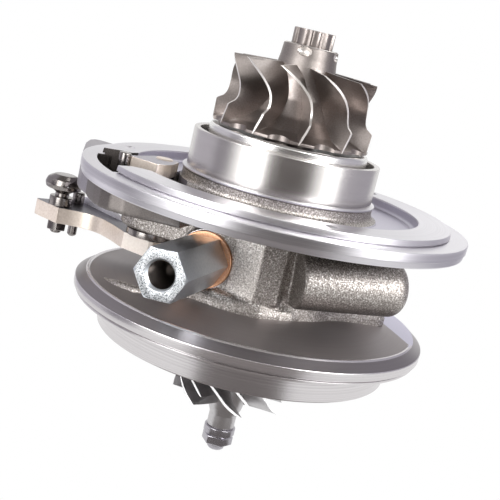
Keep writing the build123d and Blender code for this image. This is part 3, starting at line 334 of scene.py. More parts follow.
# Mesh tools
def soften(points, radius, steps=4):
    """Closed outline with each corner rounded. A point may carry its own radius as a last value."""
    out = []
    count = len(points)
    for i, here in enumerate(points):
        own = here[2] if len(here) > 2 else radius
        corner = Vector(here[:2])
        before = Vector(points[i - 1][:2]) - corner
        after = Vector(points[(i + 1) % count][:2]) - corner
        if own <= 0 or before.length < 1e-6 or after.length < 1e-6:
            out.append(tuple(corner))
            continue
        half = before.angle(after, math.pi) / 2
        back = min(own / max(math.tan(half), 0.05), 0.45 * before.length, 0.45 * after.length)
        first = corner + before.normalized() * back
        last = corner + after.normalized() * back
        for k in range(steps + 1):
            t = k / steps
            out.append(tuple(first * (1 - t) ** 2 + corner * 2 * t * (1 - t) + last * t ** 2))
    return out


def arc(centre, radius, start, end, steps):
    """Points along an arc, angles in degrees."""
    points = [polar(radius, start + (end - start) * k / steps) for k in range(steps + 1)]
    return [(centre[0] + x, centre[1] + y) for x, y in points]


def reach(point):
    """Distance of a point from the shaft axis."""
    return math.hypot(point.x, point.y)


def from_inlet(point):
    """Distance of a point from the oil inlet's axis."""
    return math.hypot(point.x - INLET_X, point.z - INLET_Z)


def looks_out(point, normal):
    """How far a face looks away from the shaft axis: the cosine times its distance."""
    return normal.x * point.x + normal.y * point.y


def finish_mesh(name, work, sharp=35.0):
    """An object from bmesh in millimetres, shaded smooth except at creases."""
    bmesh.ops.remove_doubles(work, verts=work.verts, dist=1e-4)
    bmesh.ops.dissolve_degenerate(work, edges=work.edges, dist=1e-5)
    bmesh.ops.recalc_face_normals(work, faces=work.faces)
    for vert in work.verts:
        vert.co *= MM
    for face in work.faces:
        face.smooth = True
    for edge in work.edges:
        if len(edge.link_faces) == 2 and edge.calc_face_angle(0) > math.radians(sharp):
            edge.smooth = False
    mesh = bpy.data.meshes.new(name)
    work.to_mesh(mesh)
    work.free()
    made = bpy.data.objects.new(name, mesh)
    bpy.context.scene.collection.objects.link(made)
    return made


def lathe(name, profile, segments=288, centre=(0, 0)):
    """Closed (radius, z) profile turned about an upright line."""
    work = bmesh.new()
    rows = []
    for k in range(segments):
        c, s = polar(1, 360 * k / segments)
        rows.append([work.verts.new((centre[0] + r * c, centre[1] + r * s, z)) for r, z in profile])
    for k in range(segments):
        here, there = rows[k], rows[(k + 1) % segments]
        for i in range(len(profile)):
            j = (i + 1) % len(profile)
            if profile[i][0] > 1e-6 or profile[j][0] > 1e-6:
                work.faces.new((here[i], here[j], there[j], there[i]))
    return finish_mesh(name, work)


def prism(name, outline, bottom, top):
    """Upright prism over an outline."""
    work = bmesh.new()
    low = [work.verts.new((x, y, bottom)) for x, y in outline]
    high = [work.verts.new((x, y, top)) for x, y in outline]
    work.faces.new(low)
    work.faces.new(high)
    for i in range(len(outline)):
        j = (i + 1) % len(outline)
        work.faces.new((low[i], low[j], high[j], high[i]))
    return finish_mesh(name, work)


def aim(made, origin, direction):
    """Turn a piece made about Z so that its Z runs along a direction from an origin, in millimetres."""
    turn = Vector(direction).to_track_quat("Z", "Y").to_matrix().to_4x4()
    made.data.transform(Matrix.Translation(Vector(origin) * MM) @ turn)
    return made


def bake(made):
    """Put a piece's modifiers into its mesh."""
    graph = bpy.context.evaluated_depsgraph_get()
    mesh = bpy.data.meshes.new_from_object(made.evaluated_get(graph))
    made.modifiers.clear()
    made.data = mesh
    return made


def cut(made, *tools):
    """Cut tools out of a piece and throw the tools away."""
    for tool in tools:
        step = made.modifiers.new("cut", "BOOLEAN")
        step.object = tool
        step.operation = "DIFFERENCE"
        step.solver = "EXACT"
    bake(made)
    for tool in tools:
        bpy.data.objects.remove(tool)
    return made


def crease(made, angle=35.0):
    """Smooth shading except at sharp edges."""
    work = bmesh.new()
    work.from_mesh(made.data)
    for face in work.faces:
        face.smooth = True
    for edge in work.edges:
        edge.smooth = len(edge.link_faces) != 2 or edge.calc_face_angle(0) < math.radians(angle)
    work.to_mesh(made.data)
    work.free()
    return made


def break_edges(made, width=0.25, angle=40.0):
    """Small broken edges, as a deburring tool leaves them. The faces beside them stay flat."""
    step = made.modifiers.new("edges", "BEVEL")
    step.width = width * MM
    step.segments = 2
    step.limit_method = "ANGLE"
    step.angle_limit = math.radians(angle)
    return crease(bake(made), 20.0)


def melt(name, parts, voxel, rounds):
    """One cast skin over overlapping parts, with their corners run together."""
    work = bmesh.new()
    for part in parts:
        work.from_mesh(part.data)
        bpy.data.objects.remove(part)
    mesh = bpy.data.meshes.new(name)
    work.to_mesh(mesh)
    work.free()
    made = bpy.data.objects.new(name, mesh)
    bpy.context.scene.collection.objects.link(made)
    skin = made.modifiers.new("skin", "REMESH")
    skin.mode = "VOXEL"
    skin.voxel_size = voxel * MM
    flow = made.modifiers.new("flow", "SMOOTH")
    flow.factor = 0.5
    flow.iterations = rounds
    return crease(bake(made), 60.0)


def dress(made, material, body, slot, *nodes):
    """Material, body and the CAD nodes that the piece stands for. The record slot is not used."""
    made.data.materials.append(material)
    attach(made, body)
    if nodes:
        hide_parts(*nodes)
    return made


def paint(made, material, chosen):
    """A second material on the faces whose centre, in millimetres, and normal are chosen."""
    made.data.materials.append(material)
    index = len(made.data.materials) - 1
    for face in made.data.polygons:
        if chosen(face.center / MM, face.normal):
            face.material_index = index
    return made


def flow_curve(knots, x):
    """Smooth curve through (x, y) knots in rising x."""
    xs, ys = np.array(knots, float).T
    slope = np.gradient(ys, xs)
    i = int(np.clip(np.searchsorted(xs, x) - 1, 0, len(xs) - 2))
    h = xs[i + 1] - xs[i]
    t = (x - xs[i]) / h
    return float((2 * t ** 3 - 3 * t ** 2 + 1) * ys[i] + (t ** 3 - 2 * t ** 2 + t) * h * slope[i]
                 + (3 * t ** 2 - 2 * t ** 3) * ys[i + 1] + (t ** 3 - t ** 2) * h * slope[i + 1])


def along(path, t):
    """Point at a share t of a path's length."""
    points = [Vector(p) for p in path]
    lengths = [0.0]
    for a, b in zip(points, points[1:]):
        lengths.append(lengths[-1] + (b - a).length)
    goal = t * lengths[-1]
    for i in range(len(points) - 1):
        if goal <= lengths[i + 1] or i == len(points) - 2:
            share = (goal - lengths[i]) / (lengths[i + 1] - lengths[i])
            return points[i].lerp(points[i + 1], share)


# Bearing housing: the pocket that the crank arm swings in is cut from each piece it passes through
POCKET = (
    [polar(LAND_OUTER_R + 1.5, a) for a in np.linspace(-157.5, -128.0, 14)]
    + [(-36.9, -44.1), (-34.6, -42.6), (-31.3, -41.9), (-29.2, -42.2), (-18.6, -43.8), (-19.5, -37.0)]
    + [polar(SHOULDER_R + 0.1, a) for a in np.linspace(-133.0, -170.0, 12)]
    + [(-37.0, -4.7), (-43.5, -5.6), (-49.7, -12.5), (-50.4, -17.5), (-53.4, -18.8)]
)


def pocket_cutter():
    """A fresh tool for the crank arm's pocket."""
    return prism("pocket", POCKET, POCKET_FLOOR, POCKET_CUT_TOP)


flange = lathe("turbine_flange", soften([
    (LAND_INNER_R, FLANGE_BOTTOM), (69.3, FLANGE_BOTTOM, 0.5), (69.6, -3.25, 0.05), (69.95, -3.1, 0.1),
    (FLANGE_R, 0, 0.45), (62.5, 0, 0.25), (62.5, 0.5, 0.1), (LAND_OUTER_R + 0.1, 0.5, 0.05),
    (LAND_OUTER_R - 0.1, LAND_TOP, 0.3), (LAND_INNER_R, LAND_TOP, 0.3),
], 0.0), segments=360)
land_hole = [(0, -3), (LAND_HOLE_R, -3), (LAND_HOLE_R, 1.8), (LAND_HOLE_R + 0.6, 2.5), (0, 2.5)]
land_holes = [lathe("hole", land_hole, 32, polar(LAND_HOLE_RING, a)) for a in LAND_HOLE_ANGLES]
cut(flange, pocket_cutter(), *land_holes)
crease(flange)
dress(flange, MACHINED, "housing", "cast_body", "bearing_housing")
# Painted shade: the pocket's walls in the flange are painted dark
paint(flange, POCKET_PAINTED_SHADE, lambda c, n: abs(n.z) < 0.3 and c.x < -15 and LAND_INNER_R + 0.3 < reach(c) < 62.3)

recess = lathe("recess_floor", soften([
    (35.3, -4.8, 0), (35.3, -1.4, 0), (36.8, RECESS_FLOOR, 1.0), (LAND_INNER_R - 0.1, RECESS_FLOOR, 3.2),
    (LAND_INNER_R - 0.02, 1.6, 0), (LAND_INNER_R + 0.2, 1.6, 0), (LAND_INNER_R + 0.2, -4.8, 0),
], 0.0, 8), segments=360)
cut(recess, pocket_cutter())
crease(recess)
dress(recess, RECESS_BLAST, "housing", "cast_body")
# Painted shade: the pocket's walls in the recess are painted dark
paint(recess, POCKET_PAINTED_SHADE, lambda c, n: abs(n.z) < 0.2 and c.x < -15 and 36.5 < reach(c) < LAND_INNER_R - 0.4)

collar = lathe("collar", soften([
    (COLLAR_BORE_R, 9.0, 0), (COLLAR_BORE_R, COLLAR_TOP, 0.35), (COLLAR_R, COLLAR_TOP, 0.45),
    (COLLAR_R, SHOULDER_TOP - 1.0, 0), (NECK_BORE_R, SHOULDER_TOP - 1.0, 0), (NECK_BORE_R, 9.0, 0),
], 0.2), segments=360)
dress(collar, COLLAR_CUT, "housing", "cast_body")

collar_neck = lathe("collar_neck", soften([
    (NECK_BORE_R, -3.0, 0), (NECK_BORE_R, SHOULDER_TOP, 0), (SHOULDER_R, SHOULDER_TOP, 0.35),
    (SHOULDER_R, SHOULDER_TOP - 0.7, 0.3), (SHOULDER_R - 0.5, SHOULDER_TOP - 1.1, 0.4),
    (SHOULDER_R - 0.4, -0.2, 2.0), (NECK_FLARE_R, -1.75, 1.0), (NECK_FLARE_R, -3.0, 0),
], 0.0, 8), segments=360)
cut(collar_neck, pocket_cutter())
crease(collar_neck)
dress(collar_neck, CAST, "housing", "cast_body")
paint(collar_neck, MACHINED, lambda c, n: c.z > SHOULDER_TOP - 0.75)
paint(collar_neck, RECESS_BLAST, lambda c, n: c.z < -1.3)

# Cast body: a round core, the lug and pod under the flange, the lever's boss and its web, flat facets beside
# the inlet boss, the closed side boss, and a foot that steps in as it rises from the dish
FOOT = arc((0, 0), FOOT_R, 100, 293, 60) + [
    (23.2, -26.1), (30.4, -14.0), (36.9, -3.9), (46.6, 9.6), (47.6, 12.7), (41.0, 15.9), (25.0, 20.0)]
FOOT_STEPS = ((0.925, -31.4), (0.95, -31.8), (0.972, -32.5), (0.989, -33.4), (1.0, -34.8))
SKIRT_WALL = [(0, 0), (21.6, -24.8), (28.4, -13.0), (34.8, -3.0), (44.6, 10.4), (45.2, 13.1), (40.0, 15.0),
              (25.0, 18.0)]
LUG = [(-56.0, -37.0), (-60.2, -33.2), (-63.4, -28.9), (-66.0, -24.6), (-75, -6.6), (-78.3, 2.4),
       (-78.1, 6.0), (-76.4, 7.2), (-66, 7), (-56, 3), (-56, -22)]
POD = [polar(LAND_OUTER_R + 3.5, a) for a in np.linspace(-163, -135, 12)] + [
    (-43.0, -50.6), (-38.5, -52.4), (-33.5, -52.4), (-28.0, -50.8), (-15, -46.5), (-15, -30), (-30, -5),
    (-43, -1)]
WEB = [(LEVER_X, LEVER_Y - BOSS_R), (-15, -29.5), (-15, 0), (LEVER_X, LEVER_Y + BOSS_R)]
FACETS = [(0, -20), (1.2, -33.7), (11.1, -34.7), (18.3, -31.0), (18.9, -28.0), (12, -14)]
RIDGE = [Vector((-42.0, -36.0, -41.6)), Vector((-33.9, -39.7, -39.9)), Vector((-27.3, -41.5, -39.3)),
         Vector((-11.9, -35.9, -37.6))]
RIDGE_R = 2.4
SIDE_BOSS_FOOT = Vector((22.4, -29.0, -21.4))
SIDE_BOSS_WAY = Vector((31.0, 22.5, 2.4))
side_boss_end = arc((SIDE_BOSS_R - SIDE_BOSS_ROUND, SIDE_BOSS_LENGTH - SIDE_BOSS_ROUND), SIDE_BOSS_ROUND,
                    0, 90, 6)
cast_parts = [
    lathe("core", [
        (22, 3.0), (34.6, 3.0), (34.6, -2.3), (38.5, -2.5), (51, -2.5), (51, -5.2), (38.5, -5.4),
        (35.2, -6.4), (33.8, -8.5), (NECK_R, -12), (NECK_R, -30.9), (34.2, -38.0), (22, -38.0),
    ], 240),
    prism("lug", LUG, POD_BOTTOM, -0.3),
    prism("pod", POD, POD_BOTTOM, POD_TOP),
    lathe("lever_boss", [(0, BOSS_BOTTOM), (BOSS_R - 1.0, BOSS_BOTTOM), (BOSS_R, BOSS_BOTTOM + 1.0),
                         (BOSS_R, POD_TOP), (0, POD_TOP)], 96, (LEVER_X, LEVER_Y)),
    prism("web", WEB, BOSS_BOTTOM, POD_TOP),
    prism("facets", FACETS, -31.8, POD_TOP),
    aim(lathe("inlet_boss", [(0, 0), (10.5, 0), (10.5, 13), (0, 13)], 96),
        (INLET_X, -20, INLET_Z), (0, -1, 0)),
    aim(lathe("side_boss", [(0, 0), (SIDE_BOSS_R, 0)] + side_boss_end + [(0, SIDE_BOSS_LENGTH)], 96),
        SIDE_BOSS_FOOT, SIDE_BOSS_WAY),
    prism("skirt_wall", SKIRT_WALL, -38.0, -24.0),
]
for share, top in FOOT_STEPS:
    cast_parts.append(prism("foot", [(x * share, y * share) for x, y in FOOT], FOOT_BOTTOM, top))
for a, b in zip(RIDGE, RIDGE[1:]):
    length = (b - a).length
    bar = lathe("ridge", [(0, -1), (RIDGE_R, -0.4), (RIDGE_R, length + 0.4), (0, length + 1)], 32)
    cast_parts.append(aim(bar, a, b - a))
drain_pad = [(DRAIN_PAD_X * sx, y) for sx, y in ((-1, 20), (1, 20), (1, DRAIN_FACE), (-1, DRAIN_FACE))]
cast_parts.append(prism("drain_pad", drain_pad, DRAIN_Z - DRAIN_PAD_Z, DRAIN_Z + DRAIN_PAD_Z))
cast = melt("cast_body", cast_parts, 0.5, 4)
spot_face = lathe("spot_face", [(0, 0), (SPOT_FACE_R, 0), (SPOT_FACE_R, 9), (0, 9)], 96)
drain = lathe("drain", [(0, -12), (DRAIN_R, -12), (DRAIN_R, 3), (0, 3)], 96)
drain_screw = [(0, -13), (DRAIN_SCREW_R, -13), (DRAIN_SCREW_R, 3), (0, 3)]
hub_room = [(0, -31.7), (9.4, -31.7), (9.4, BOSS_BOTTOM + 0.3), (0, BOSS_BOTTOM + 0.3)]
cut(cast,
    pocket_cutter(),
    aim(spot_face, (INLET_X, INLET_FACE, INLET_Z), (0, -1, 0)),
    aim(drain, (0, DRAIN_FACE, DRAIN_Z), (0, 1, 0)),
    *[aim(lathe("drain_screw", drain_screw, 48), (x, DRAIN_FACE, DRAIN_Z), (0, 1, 0))
      for x in (-DRAIN_SCREW_X, DRAIN_SCREW_X)],
    lathe("hub_room", hub_room, 96, (LEVER_X, LEVER_Y)))
crease(cast, 50.0)
dress(cast, CAST, "housing", "cast_body")
paint(cast, LUG_SATIN, lambda c, n: c.z > POD_BOTTOM - 0.1 and c.x < -55 and reach(c) > 64)
# Painted shade: the pod's side under the flange is painted darker
paint(cast, POD_PAINTED_SHADE, lambda c, n: c.z > POD_BOTTOM - 0.1 and -55 <= c.x < -14 and reach(c) > 47
      and looks_out(c, n) > 10)
# Painted shade: the pocket's walls in the cast body are painted dark
paint(cast, POCKET_PAINTED_SHADE, lambda c, n: -8.6 < c.z < -2.2 and c.x < -17 and 35.8 < reach(c) < 65
      and (reach(c) < 47 or looks_out(c, n) < 10))
# Painted light: the facet beside the inlet boss that catches the light is painted paler
paint(cast, CAST_PAINTED_LIGHT, lambda c, n: 1.0 < c.x < 11.6 and n.y < -0.85 and -31 < c.z < -5.5 and c.y > -36)
paint(cast, RIM_CUT, lambda c, n: abs(n.y) > 0.99 and (
    (abs(c.y - INLET_FACE) < 0.05 and from_inlet(c) < 11.7) or abs(c.y - DRAIN_FACE) < 0.08))

# Lower disc: the dish with a thin bead at its edge, a bevel and the rim
disc = lathe("lower_disc", soften([
    (30.0, -36.2, 0), (36.0, -36.3, 0), (59.4, -39.85, 0.1), (59.75, BEAD_TOP, 0.15), (60.4, BEAD_TOP, 0.2),
    (DISH_OUTER_R, DISH_EDGE_Z + 0.1, 0.1),
    (DISC_R, DISC_SHOULDER_Z, 0.4), (DISC_R - 0.05, DISC_BOTTOM, 0.35), (30.0, DISC_BOTTOM, 0),
], 0.0), segments=360)
rear_flat = soften([
    (44.2, 28.0, 6.0), (46.8, 17.2, 4.0), (60.4, 4.2, 0), (75.0, 24.0, 0), (60.0, 50.0, 0), (43.0, 46.0, 0),
], 0.0)
cut(disc, prism("facet", rear_flat, REAR_FLAT_Z, -30.0))
crease(disc, 20.0)
dress(disc, DISH_SATIN, "housing", "cast_body")
# Painted shade: the bevel is painted darker than the rim
paint(disc, BEVEL_PAINTED_SHADE, lambda c, n: reach(c) > DISH_OUTER_R)
paint(disc, RIM_CUT, lambda c, n: c.z < DISC_SHOULDER_Z + 0.15
      or (c.z > DISH_EDGE_Z and 59.55 < reach(c) < 60.9))
paint(disc, REAR_CUT, lambda c, n: c.x > 40 and c.y > 0 and c.z > REAR_FLAT_Z - 0.15
      and (n.z > 0.998 or abs(n.z) < 0.3))

# Compressor backplate: a thin lip under the disc, and the spigot
backplate = lathe("compressor_backplate", soften([
    (20.0, DISC_BOTTOM, 0), (GROOVE_R, DISC_BOTTOM, 0), (GROOVE_R, LIP_TOP, 0.05), (LIP_R, LIP_TOP, 0.15),
    (LIP_R, LIP_BOTTOM, 0.15), (SPIGOT_R, LIP_BOTTOM, 0.3), (SPIGOT_R, SPIGOT_END + 0.4, 0.15),
    (SPIGOT_R - 0.4, SPIGOT_END, 0.15), (7.0, SPIGOT_END, 0.2), (7.0, -50.0, 0), (20, -50.0, 0),
], 0.0), segments=360)
dress(backplate, RIM_CUT, "housing", "machined_steel", "compressor_backplate")

# Heat shield: a pressed cup with a raised bead at its corner and a flange that rests on the collar's ledge
shield = lathe("heat_shield", soften([
    (10.6, SHIELD_TOP - SHIELD_SHEET_T, 0), (10.6, SHIELD_TOP, 0.2), (25.6, SHIELD_TOP, 0.6),
    (26.2, SHIELD_BEAD_TOP, 0.6), (28.1, SHIELD_BEAD_TOP, 0.7), (SHIELD_R, SHIELD_TOP, 0.6),
    (SHIELD_R, LEDGE_TOP + SHIELD_SHEET_T, 0.4), (31.5, LEDGE_TOP + SHIELD_SHEET_T, 0.1),
    (31.5, LEDGE_TOP, 0.1), (SHIELD_R - SHIELD_SHEET_T, LEDGE_TOP, 0.4),
    (SHIELD_R - SHIELD_SHEET_T, SHIELD_TOP - SHIELD_SHEET_T, 0.3),
], 0.0), segments=288)
dress(shield, SHIELD_SHEET, "housing", "bright_sheet", "heat_shield")


# Wheels
BLADE_STEPS = 36
BLADE_ROWS = 10
WIDEST_SWING = 7.0


def wheel_blades(name, count, start, hub, tip, twist, root, edge):
    """Blades between a hub path and a tip path, both (radius, z); twist gives an angle for each z.
    A blade thins from its root to its edge and towards both ends. Its edge faces take the second material."""
    work = bmesh.new()
    edge_faces = []
    for b in range(count):
        base = start + 360 / count * b
        sides = []
        for side in (-1, 1):
            grid = []
            for i in range(BLADE_STEPS + 1):
                inner, outer = along(hub, i / BLADE_STEPS), along(tip, i / BLADE_STEPS)
                taper = min(1.0, 0.45 + 6.0 * min(i, BLADE_STEPS - i) / BLADE_STEPS)
                row = []
                for j in range(BLADE_ROWS + 1):
                    v = j / BLADE_ROWS
                    r, z = inner.lerp(outer, v)
                    slope = math.radians(flow_curve(twist, z + 0.1) - flow_curve(twist, z - 0.1)) / 0.2
                    wall = (root + (edge - root) * v ** 0.6) * taper
                    swing = math.degrees(wall / 2 / r * math.hypot(1, r * slope))
                    x, y = polar(r, base + flow_curve(twist, z) + side * min(swing, WIDEST_SWING))
                    row.append(work.verts.new((x, y, z)))
                grid.append(row)
            sides.append(grid)
        left, right = sides
        for i in range(BLADE_STEPS):
            for j in range(BLADE_ROWS):
                work.faces.new((left[i][j], left[i][j + 1], left[i + 1][j + 1], left[i + 1][j]))
                work.faces.new((right[i][j], right[i + 1][j], right[i + 1][j + 1], right[i][j + 1]))
            edge_faces.append(work.faces.new((left[i][-1], right[i][-1], right[i + 1][-1], left[i + 1][-1])))
            work.faces.new((left[i][0], left[i + 1][0], right[i + 1][0], right[i][0]))
        for j in range(BLADE_ROWS):
            edge_faces.append(work.faces.new((left[0][j], right[0][j], right[0][j + 1], left[0][j + 1])))
            edge_faces.append(work.faces.new((left[-1][j], left[-1][j + 1], right[-1][j + 1], right[-1][j])))
    for face in edge_faces:
        face.material_index = 1
    return finish_mesh(name, work, 30.0)


TURBINE_HUB = [(27.5, 22.0), (22.0, 24.2), (16.5, 28.5), (12.6, 34.5), (10.9, 41.0), (10.0, 45.9)]
TURBINE_TIP = [(28.3, 21.3), (28.3, 28.5), (26.0, 30.0), (25.2, 31.4), (24.9, 33.0), (24.8, 36.0),
               (25.2, 40.0), (25.7, 45.0)]
TURBINE_TWIST = [(20.0, -5.3), (24.0, -2.8), (28.5, 0.0), (32.0, 0.5), (36.0, -2.35), (40.0, -10.9),
                 (42.5, -19.1), (45.0, -29.6), (46.5, -36.5)]
turbine_blades = wheel_blades("turbine_blades", TURBINE_BLADES, TURBINE_START, TURBINE_HUB, TURBINE_TIP,
                              TURBINE_TWIST, 2.2, 0.75)
dress(turbine_blades, NICKEL, "rotor", "nickel_alloy")
# Ground blade edges, painted near white as a painted highlight
turbine_blades.data.materials.append(NICKEL_GROUND_AND_HIGHLIGHT)

turbine_hub = lathe("turbine_hub", soften([
    (0, 17.4, 0), (8.9, 17.4, 0), (8.9, 20.7, 0.2), (9.5, 21.1, 0.2), (28.0, 21.1, 0.3), (28.0, 22.1, 0.3),
    (22.0, 24.2, 4.0), (16.5, 28.5, 6.0), (12.6, 34.5, 6.0), (10.9, 41.0, 3.0), (10.4, 45.9, 0.4),
    (10.0, 48.5, 1.0), (9.7, 52.5, 0.5), (9.2, 52.9, 0.3), (0, 52.9, 0),
], 0.0), segments=264)
# Scallops between the blades, and two balance cuts in the boss
SCALLOP_R = 4.6
SCALLOP_RING = 30.2
BALANCE_RING = 11.7
scallop_start = TURBINE_START - 2 + 180 / TURBINE_BLADES
scallop = [(0, 20), (SCALLOP_R, 20), (SCALLOP_R, 25.5), (0, 25.5)]
scallops = [lathe("scallop", scallop, 48, polar(SCALLOP_RING, scallop_start + 360 / TURBINE_BLADES * k))
            for k in range(TURBINE_BLADES)]
ball = [(3.6 * math.cos(math.radians(t)), 2.0 * math.sin(math.radians(t))) for t in range(-90, 91, 15)]
balance_cuts = [lathe("balance_cut", [(max(r, 0), z + h) for r, h in ball], 48, polar(BALANCE_RING, angle))
                for angle, z in ((-84.5, 51.0), (0.0, 51.3))]
cut(turbine_hub, *balance_cuts, *scallops)
crease(turbine_hub)
dress(turbine_hub, NICKEL, "rotor", "nickel_alloy", "turbine_wheel")
# Painted shade: the boss is painted a shade darker than the blades
paint(turbine_hub, NICKEL_BOSS_PAINTED_SHADE, lambda c, n: c.z > 44.0)
# Balance cuts, ground, and painted near white as a painted highlight
paint(turbine_hub, NICKEL_GROUND_AND_HIGHLIGHT, lambda c, n: 48.9 < c.z < 52.8 and reach(c) < 9.5)

# Lobed nose that a socket turns
NOSE_LOBES = 9
NOSE_START = 13.8
nose_outline = []
for k in range(NOSE_LOBES):
    lobe = NOSE_START + 360 / NOSE_LOBES * k
    nose_outline += [polar(7.35, lobe + step) for step in (-10.5, -3.5, 3.5, 10.5)]
    nose_outline += [polar(6.3, lobe + step) for step in (14.5, 20.0, 25.5)]
nose = break_edges(prism("turbine_nose", nose_outline, 52.0, 58.4))
dress(nose, NICKEL, "rotor", "nickel_alloy")

COMP_HUB = [(6.4, -80.2), (8.6, -74.5), (11.2, -68.5), (15.7, -63.8), (22.0, -60.6), (28.6, -58.9)]
COMP_TIP = [(20.8, -78.8), (20.8, -74.0), (21.2, -70.5), (22.6, -67.0), (25.2, -64.0), (29.4, -62.2)]
COMP_TWIST = [(-84.0, 18.0), (-81.5, 10.0), (-78.8, 0.0), (-77.0, -9.3), (-74.8, -18.6), (-72.2, -26.4),
              (-69.6, -34.3), (-66.0, -42.0), (-62.6, -47.0), (-58.0, -50.0)]
compressor_blades = wheel_blades("compressor_blades", COMP_BLADES, COMP_START, COMP_HUB, COMP_TIP,
                                 COMP_TWIST, 1.5, 0.9)
dress(compressor_blades, WHEEL_ALLOY, "rotor", "wheel_aluminium")
# Cut blade edges, painted near white as a painted highlight
compressor_blades.data.materials.append(WHEEL_EDGE_PAINTED_HIGHLIGHT)
SPLITTER_HUB = [(8.3, -75.8), (11.0, -68.5), (15.7, -63.8), (22.0, -60.6), (28.6, -58.9)]
SPLITTER_TIP = [(20.8, -74.8), (21.2, -70.5), (22.6, -67.0), (25.2, -64.0), (29.4, -62.2)]
splitters = wheel_blades("compressor_splitters", COMP_BLADES, COMP_START + 180 / COMP_BLADES, SPLITTER_HUB,
                         SPLITTER_TIP, COMP_TWIST, 1.5, 0.9)
dress(splitters, WHEEL_ALLOY, "rotor", "wheel_aluminium")
# Cut splitter edges, painted near white as a painted highlight
splitters.data.materials.append(WHEEL_EDGE_PAINTED_HIGHLIGHT)
compressor_hub = lathe("compressor_hub", soften([
    (SHAFT_R, -58.0, 0), (29.2, -58.0, 0.2), (29.2, -58.9, 0.2), (22.0, -60.6, 5), (15.5, -63.8, 6),
    (11.0, -68.5, 6), (8.4, -74.5, 5), (6.9, -80.0, 3), (6.3, -83.0, 1.0), (5.2, -85.8, 1.0),
    (5.2, NUT_TOP, 0.3), (SHAFT_R, NUT_TOP, 0),
], 0.0), segments=192)
dress(compressor_hub, WHEEL_ALLOY, "rotor", "wheel_aluminium", "compressor_wheel")

# Compressor nut: a round band, a groove and the hexagon
nut_hex = [polar(NUT_R, 60 * k + 10) for k in range(6)]
nut = break_edges(prism("compressor_nut_hex", nut_hex, -97.6, -94.3), 0.35)
dress(nut, NUT_STEEL, "rotor", "dark_steel", "compressor_nut")
nut_band = lathe("compressor_nut_band", soften([
    (SHAFT_R, NUT_TOP, 0), (NUT_R, NUT_TOP, 0.4), (NUT_R, -93.7, 0.3), (NUT_R - 1.0, -93.8, 0.1),
    (NUT_R - 1.0, -94.4, 0.1), (SHAFT_R, -94.4, 0),
], 0.0), 96)
dress(nut_band, NUT_STEEL, "rotor", "dark_steel")

# Oil inlet: a long hexagon with turned corners and a threaded hole, on a copper washer
HEX_CORNER_R = HEX_FLATS / 2 / math.cos(math.radians(30))
hex_length = INLET_FACE - WASHER_T - HEX_END
hex_outline = [polar(HEX_CORNER_R, 60 * k - HEX_TURN) for k in range(6)]
fitting = prism("oil_inlet_fitting", hex_outline, 0, hex_length)
corner_cuts = []
for end, side in ((hex_length, 1), (0, -1)):
    face = end + 0.02 * side
    corner_cuts.append(lathe("corner_cut", [(8.4, face), (10.2, face), (10.2, end - 0.9 * side)], 128))
thread_start = hex_length - THREAD_TURNS
bore_profile = [(0, hex_length - HOLE_DEPTH), (THREAD_MINOR_R, hex_length - HOLE_DEPTH),
                (THREAD_MINOR_R, thread_start - 1)]
for k in range(THREAD_TURNS):
    bore_profile += [(THREAD_MINOR_R, thread_start + k - 0.5), (THREAD_MAJOR_R, thread_start + k)]
bore_profile += [(MOUTH_R, hex_length), (MOUTH_R, hex_length + 1), (0, hex_length + 1)]
cut(fitting, *corner_cuts, lathe("bore", bore_profile, 96))
aim(fitting, (INLET_X, INLET_FACE - WASHER_T, INLET_Z), (0, -1, 0))
break_edges(fitting, 0.15, 25.0)
dress(fitting, ZINC, "housing", "zinc_steel", "oil_inlet_fitting")
paint(fitting, ZINC_FACE, lambda c, n: n.y < -0.9 and c.y < HEX_END + 0.1)
# Painted shade: the bore's wall is painted dark steel, for the shade deep in the hole
paint(fitting, DARK_STEEL, lambda c, n: c.y > HEX_END + 0.3 and from_inlet(c) < THREAD_MAJOR_R + 0.05)
washer_section = [(WASHER_BORE_R, 0), (WASHER_R, 0), (WASHER_R, WASHER_T), (WASHER_BORE_R, WASHER_T)]
washer = lathe("copper_washer", soften(washer_section, 0.35), 128)
aim(washer, (INLET_X, INLET_FACE, INLET_Z), (0, -1, 0))
dress(washer, COPPER, "housing", "copper", "copper_washer")

# Control lever: its near side flows into a straight run at the hub, and a rib stands along its far side
lever_outline = soften([
    (-75.2, -17.7, 0.6), (-85.2, -14.2, 1), (-87.7, -13.1, 1), (-85.1, -9.3, 1.5), (-79.0, 5.0, 1.5),
    (-74.5, 4.2, 4), (-69.7, 1.9, 4), (-63.5, -0.9, 6), (-56.1, -4.6, 8), (-41.0, -9.6, 1),
], 1.0)
NEAR_SIDE = [(-75.2, -17.7), (-69.9, -14.6), (-65.4, -12.9), (-59.9, -13.1), (-54.2, -15.8), (-44.9, -22.3)]
near_side = [(x, flow_curve(NEAR_SIDE, x)) for x in np.linspace(-44.9, -74.6, 28)]
hub_arc = arc((LEVER_X, LEVER_Y), LEVER_HUB_R, 112, -62, 32)
lever = prism("control_lever", near_side + lever_outline + hub_arc, LEVER_BOTTOM, LEVER_TOP)
break_edges(lever, 0.22, 50.0)
dress(lever, LEVER_STEEL, "lever", "lever_steel", "control_lever")
# Painted light: the edge at the hub is painted near white
paint(lever, HUB_SIDE_PAINTED_LIGHT, lambda c, n: c.x > -44.85 and c.y < -20 and n.y < -0.8)
# Painted shade: the lever's flat faces are painted mid grey
paint(lever, LEVER_FACE_PAINTED_SHADE, lambda c, n: abs(n.z) > 0.9)

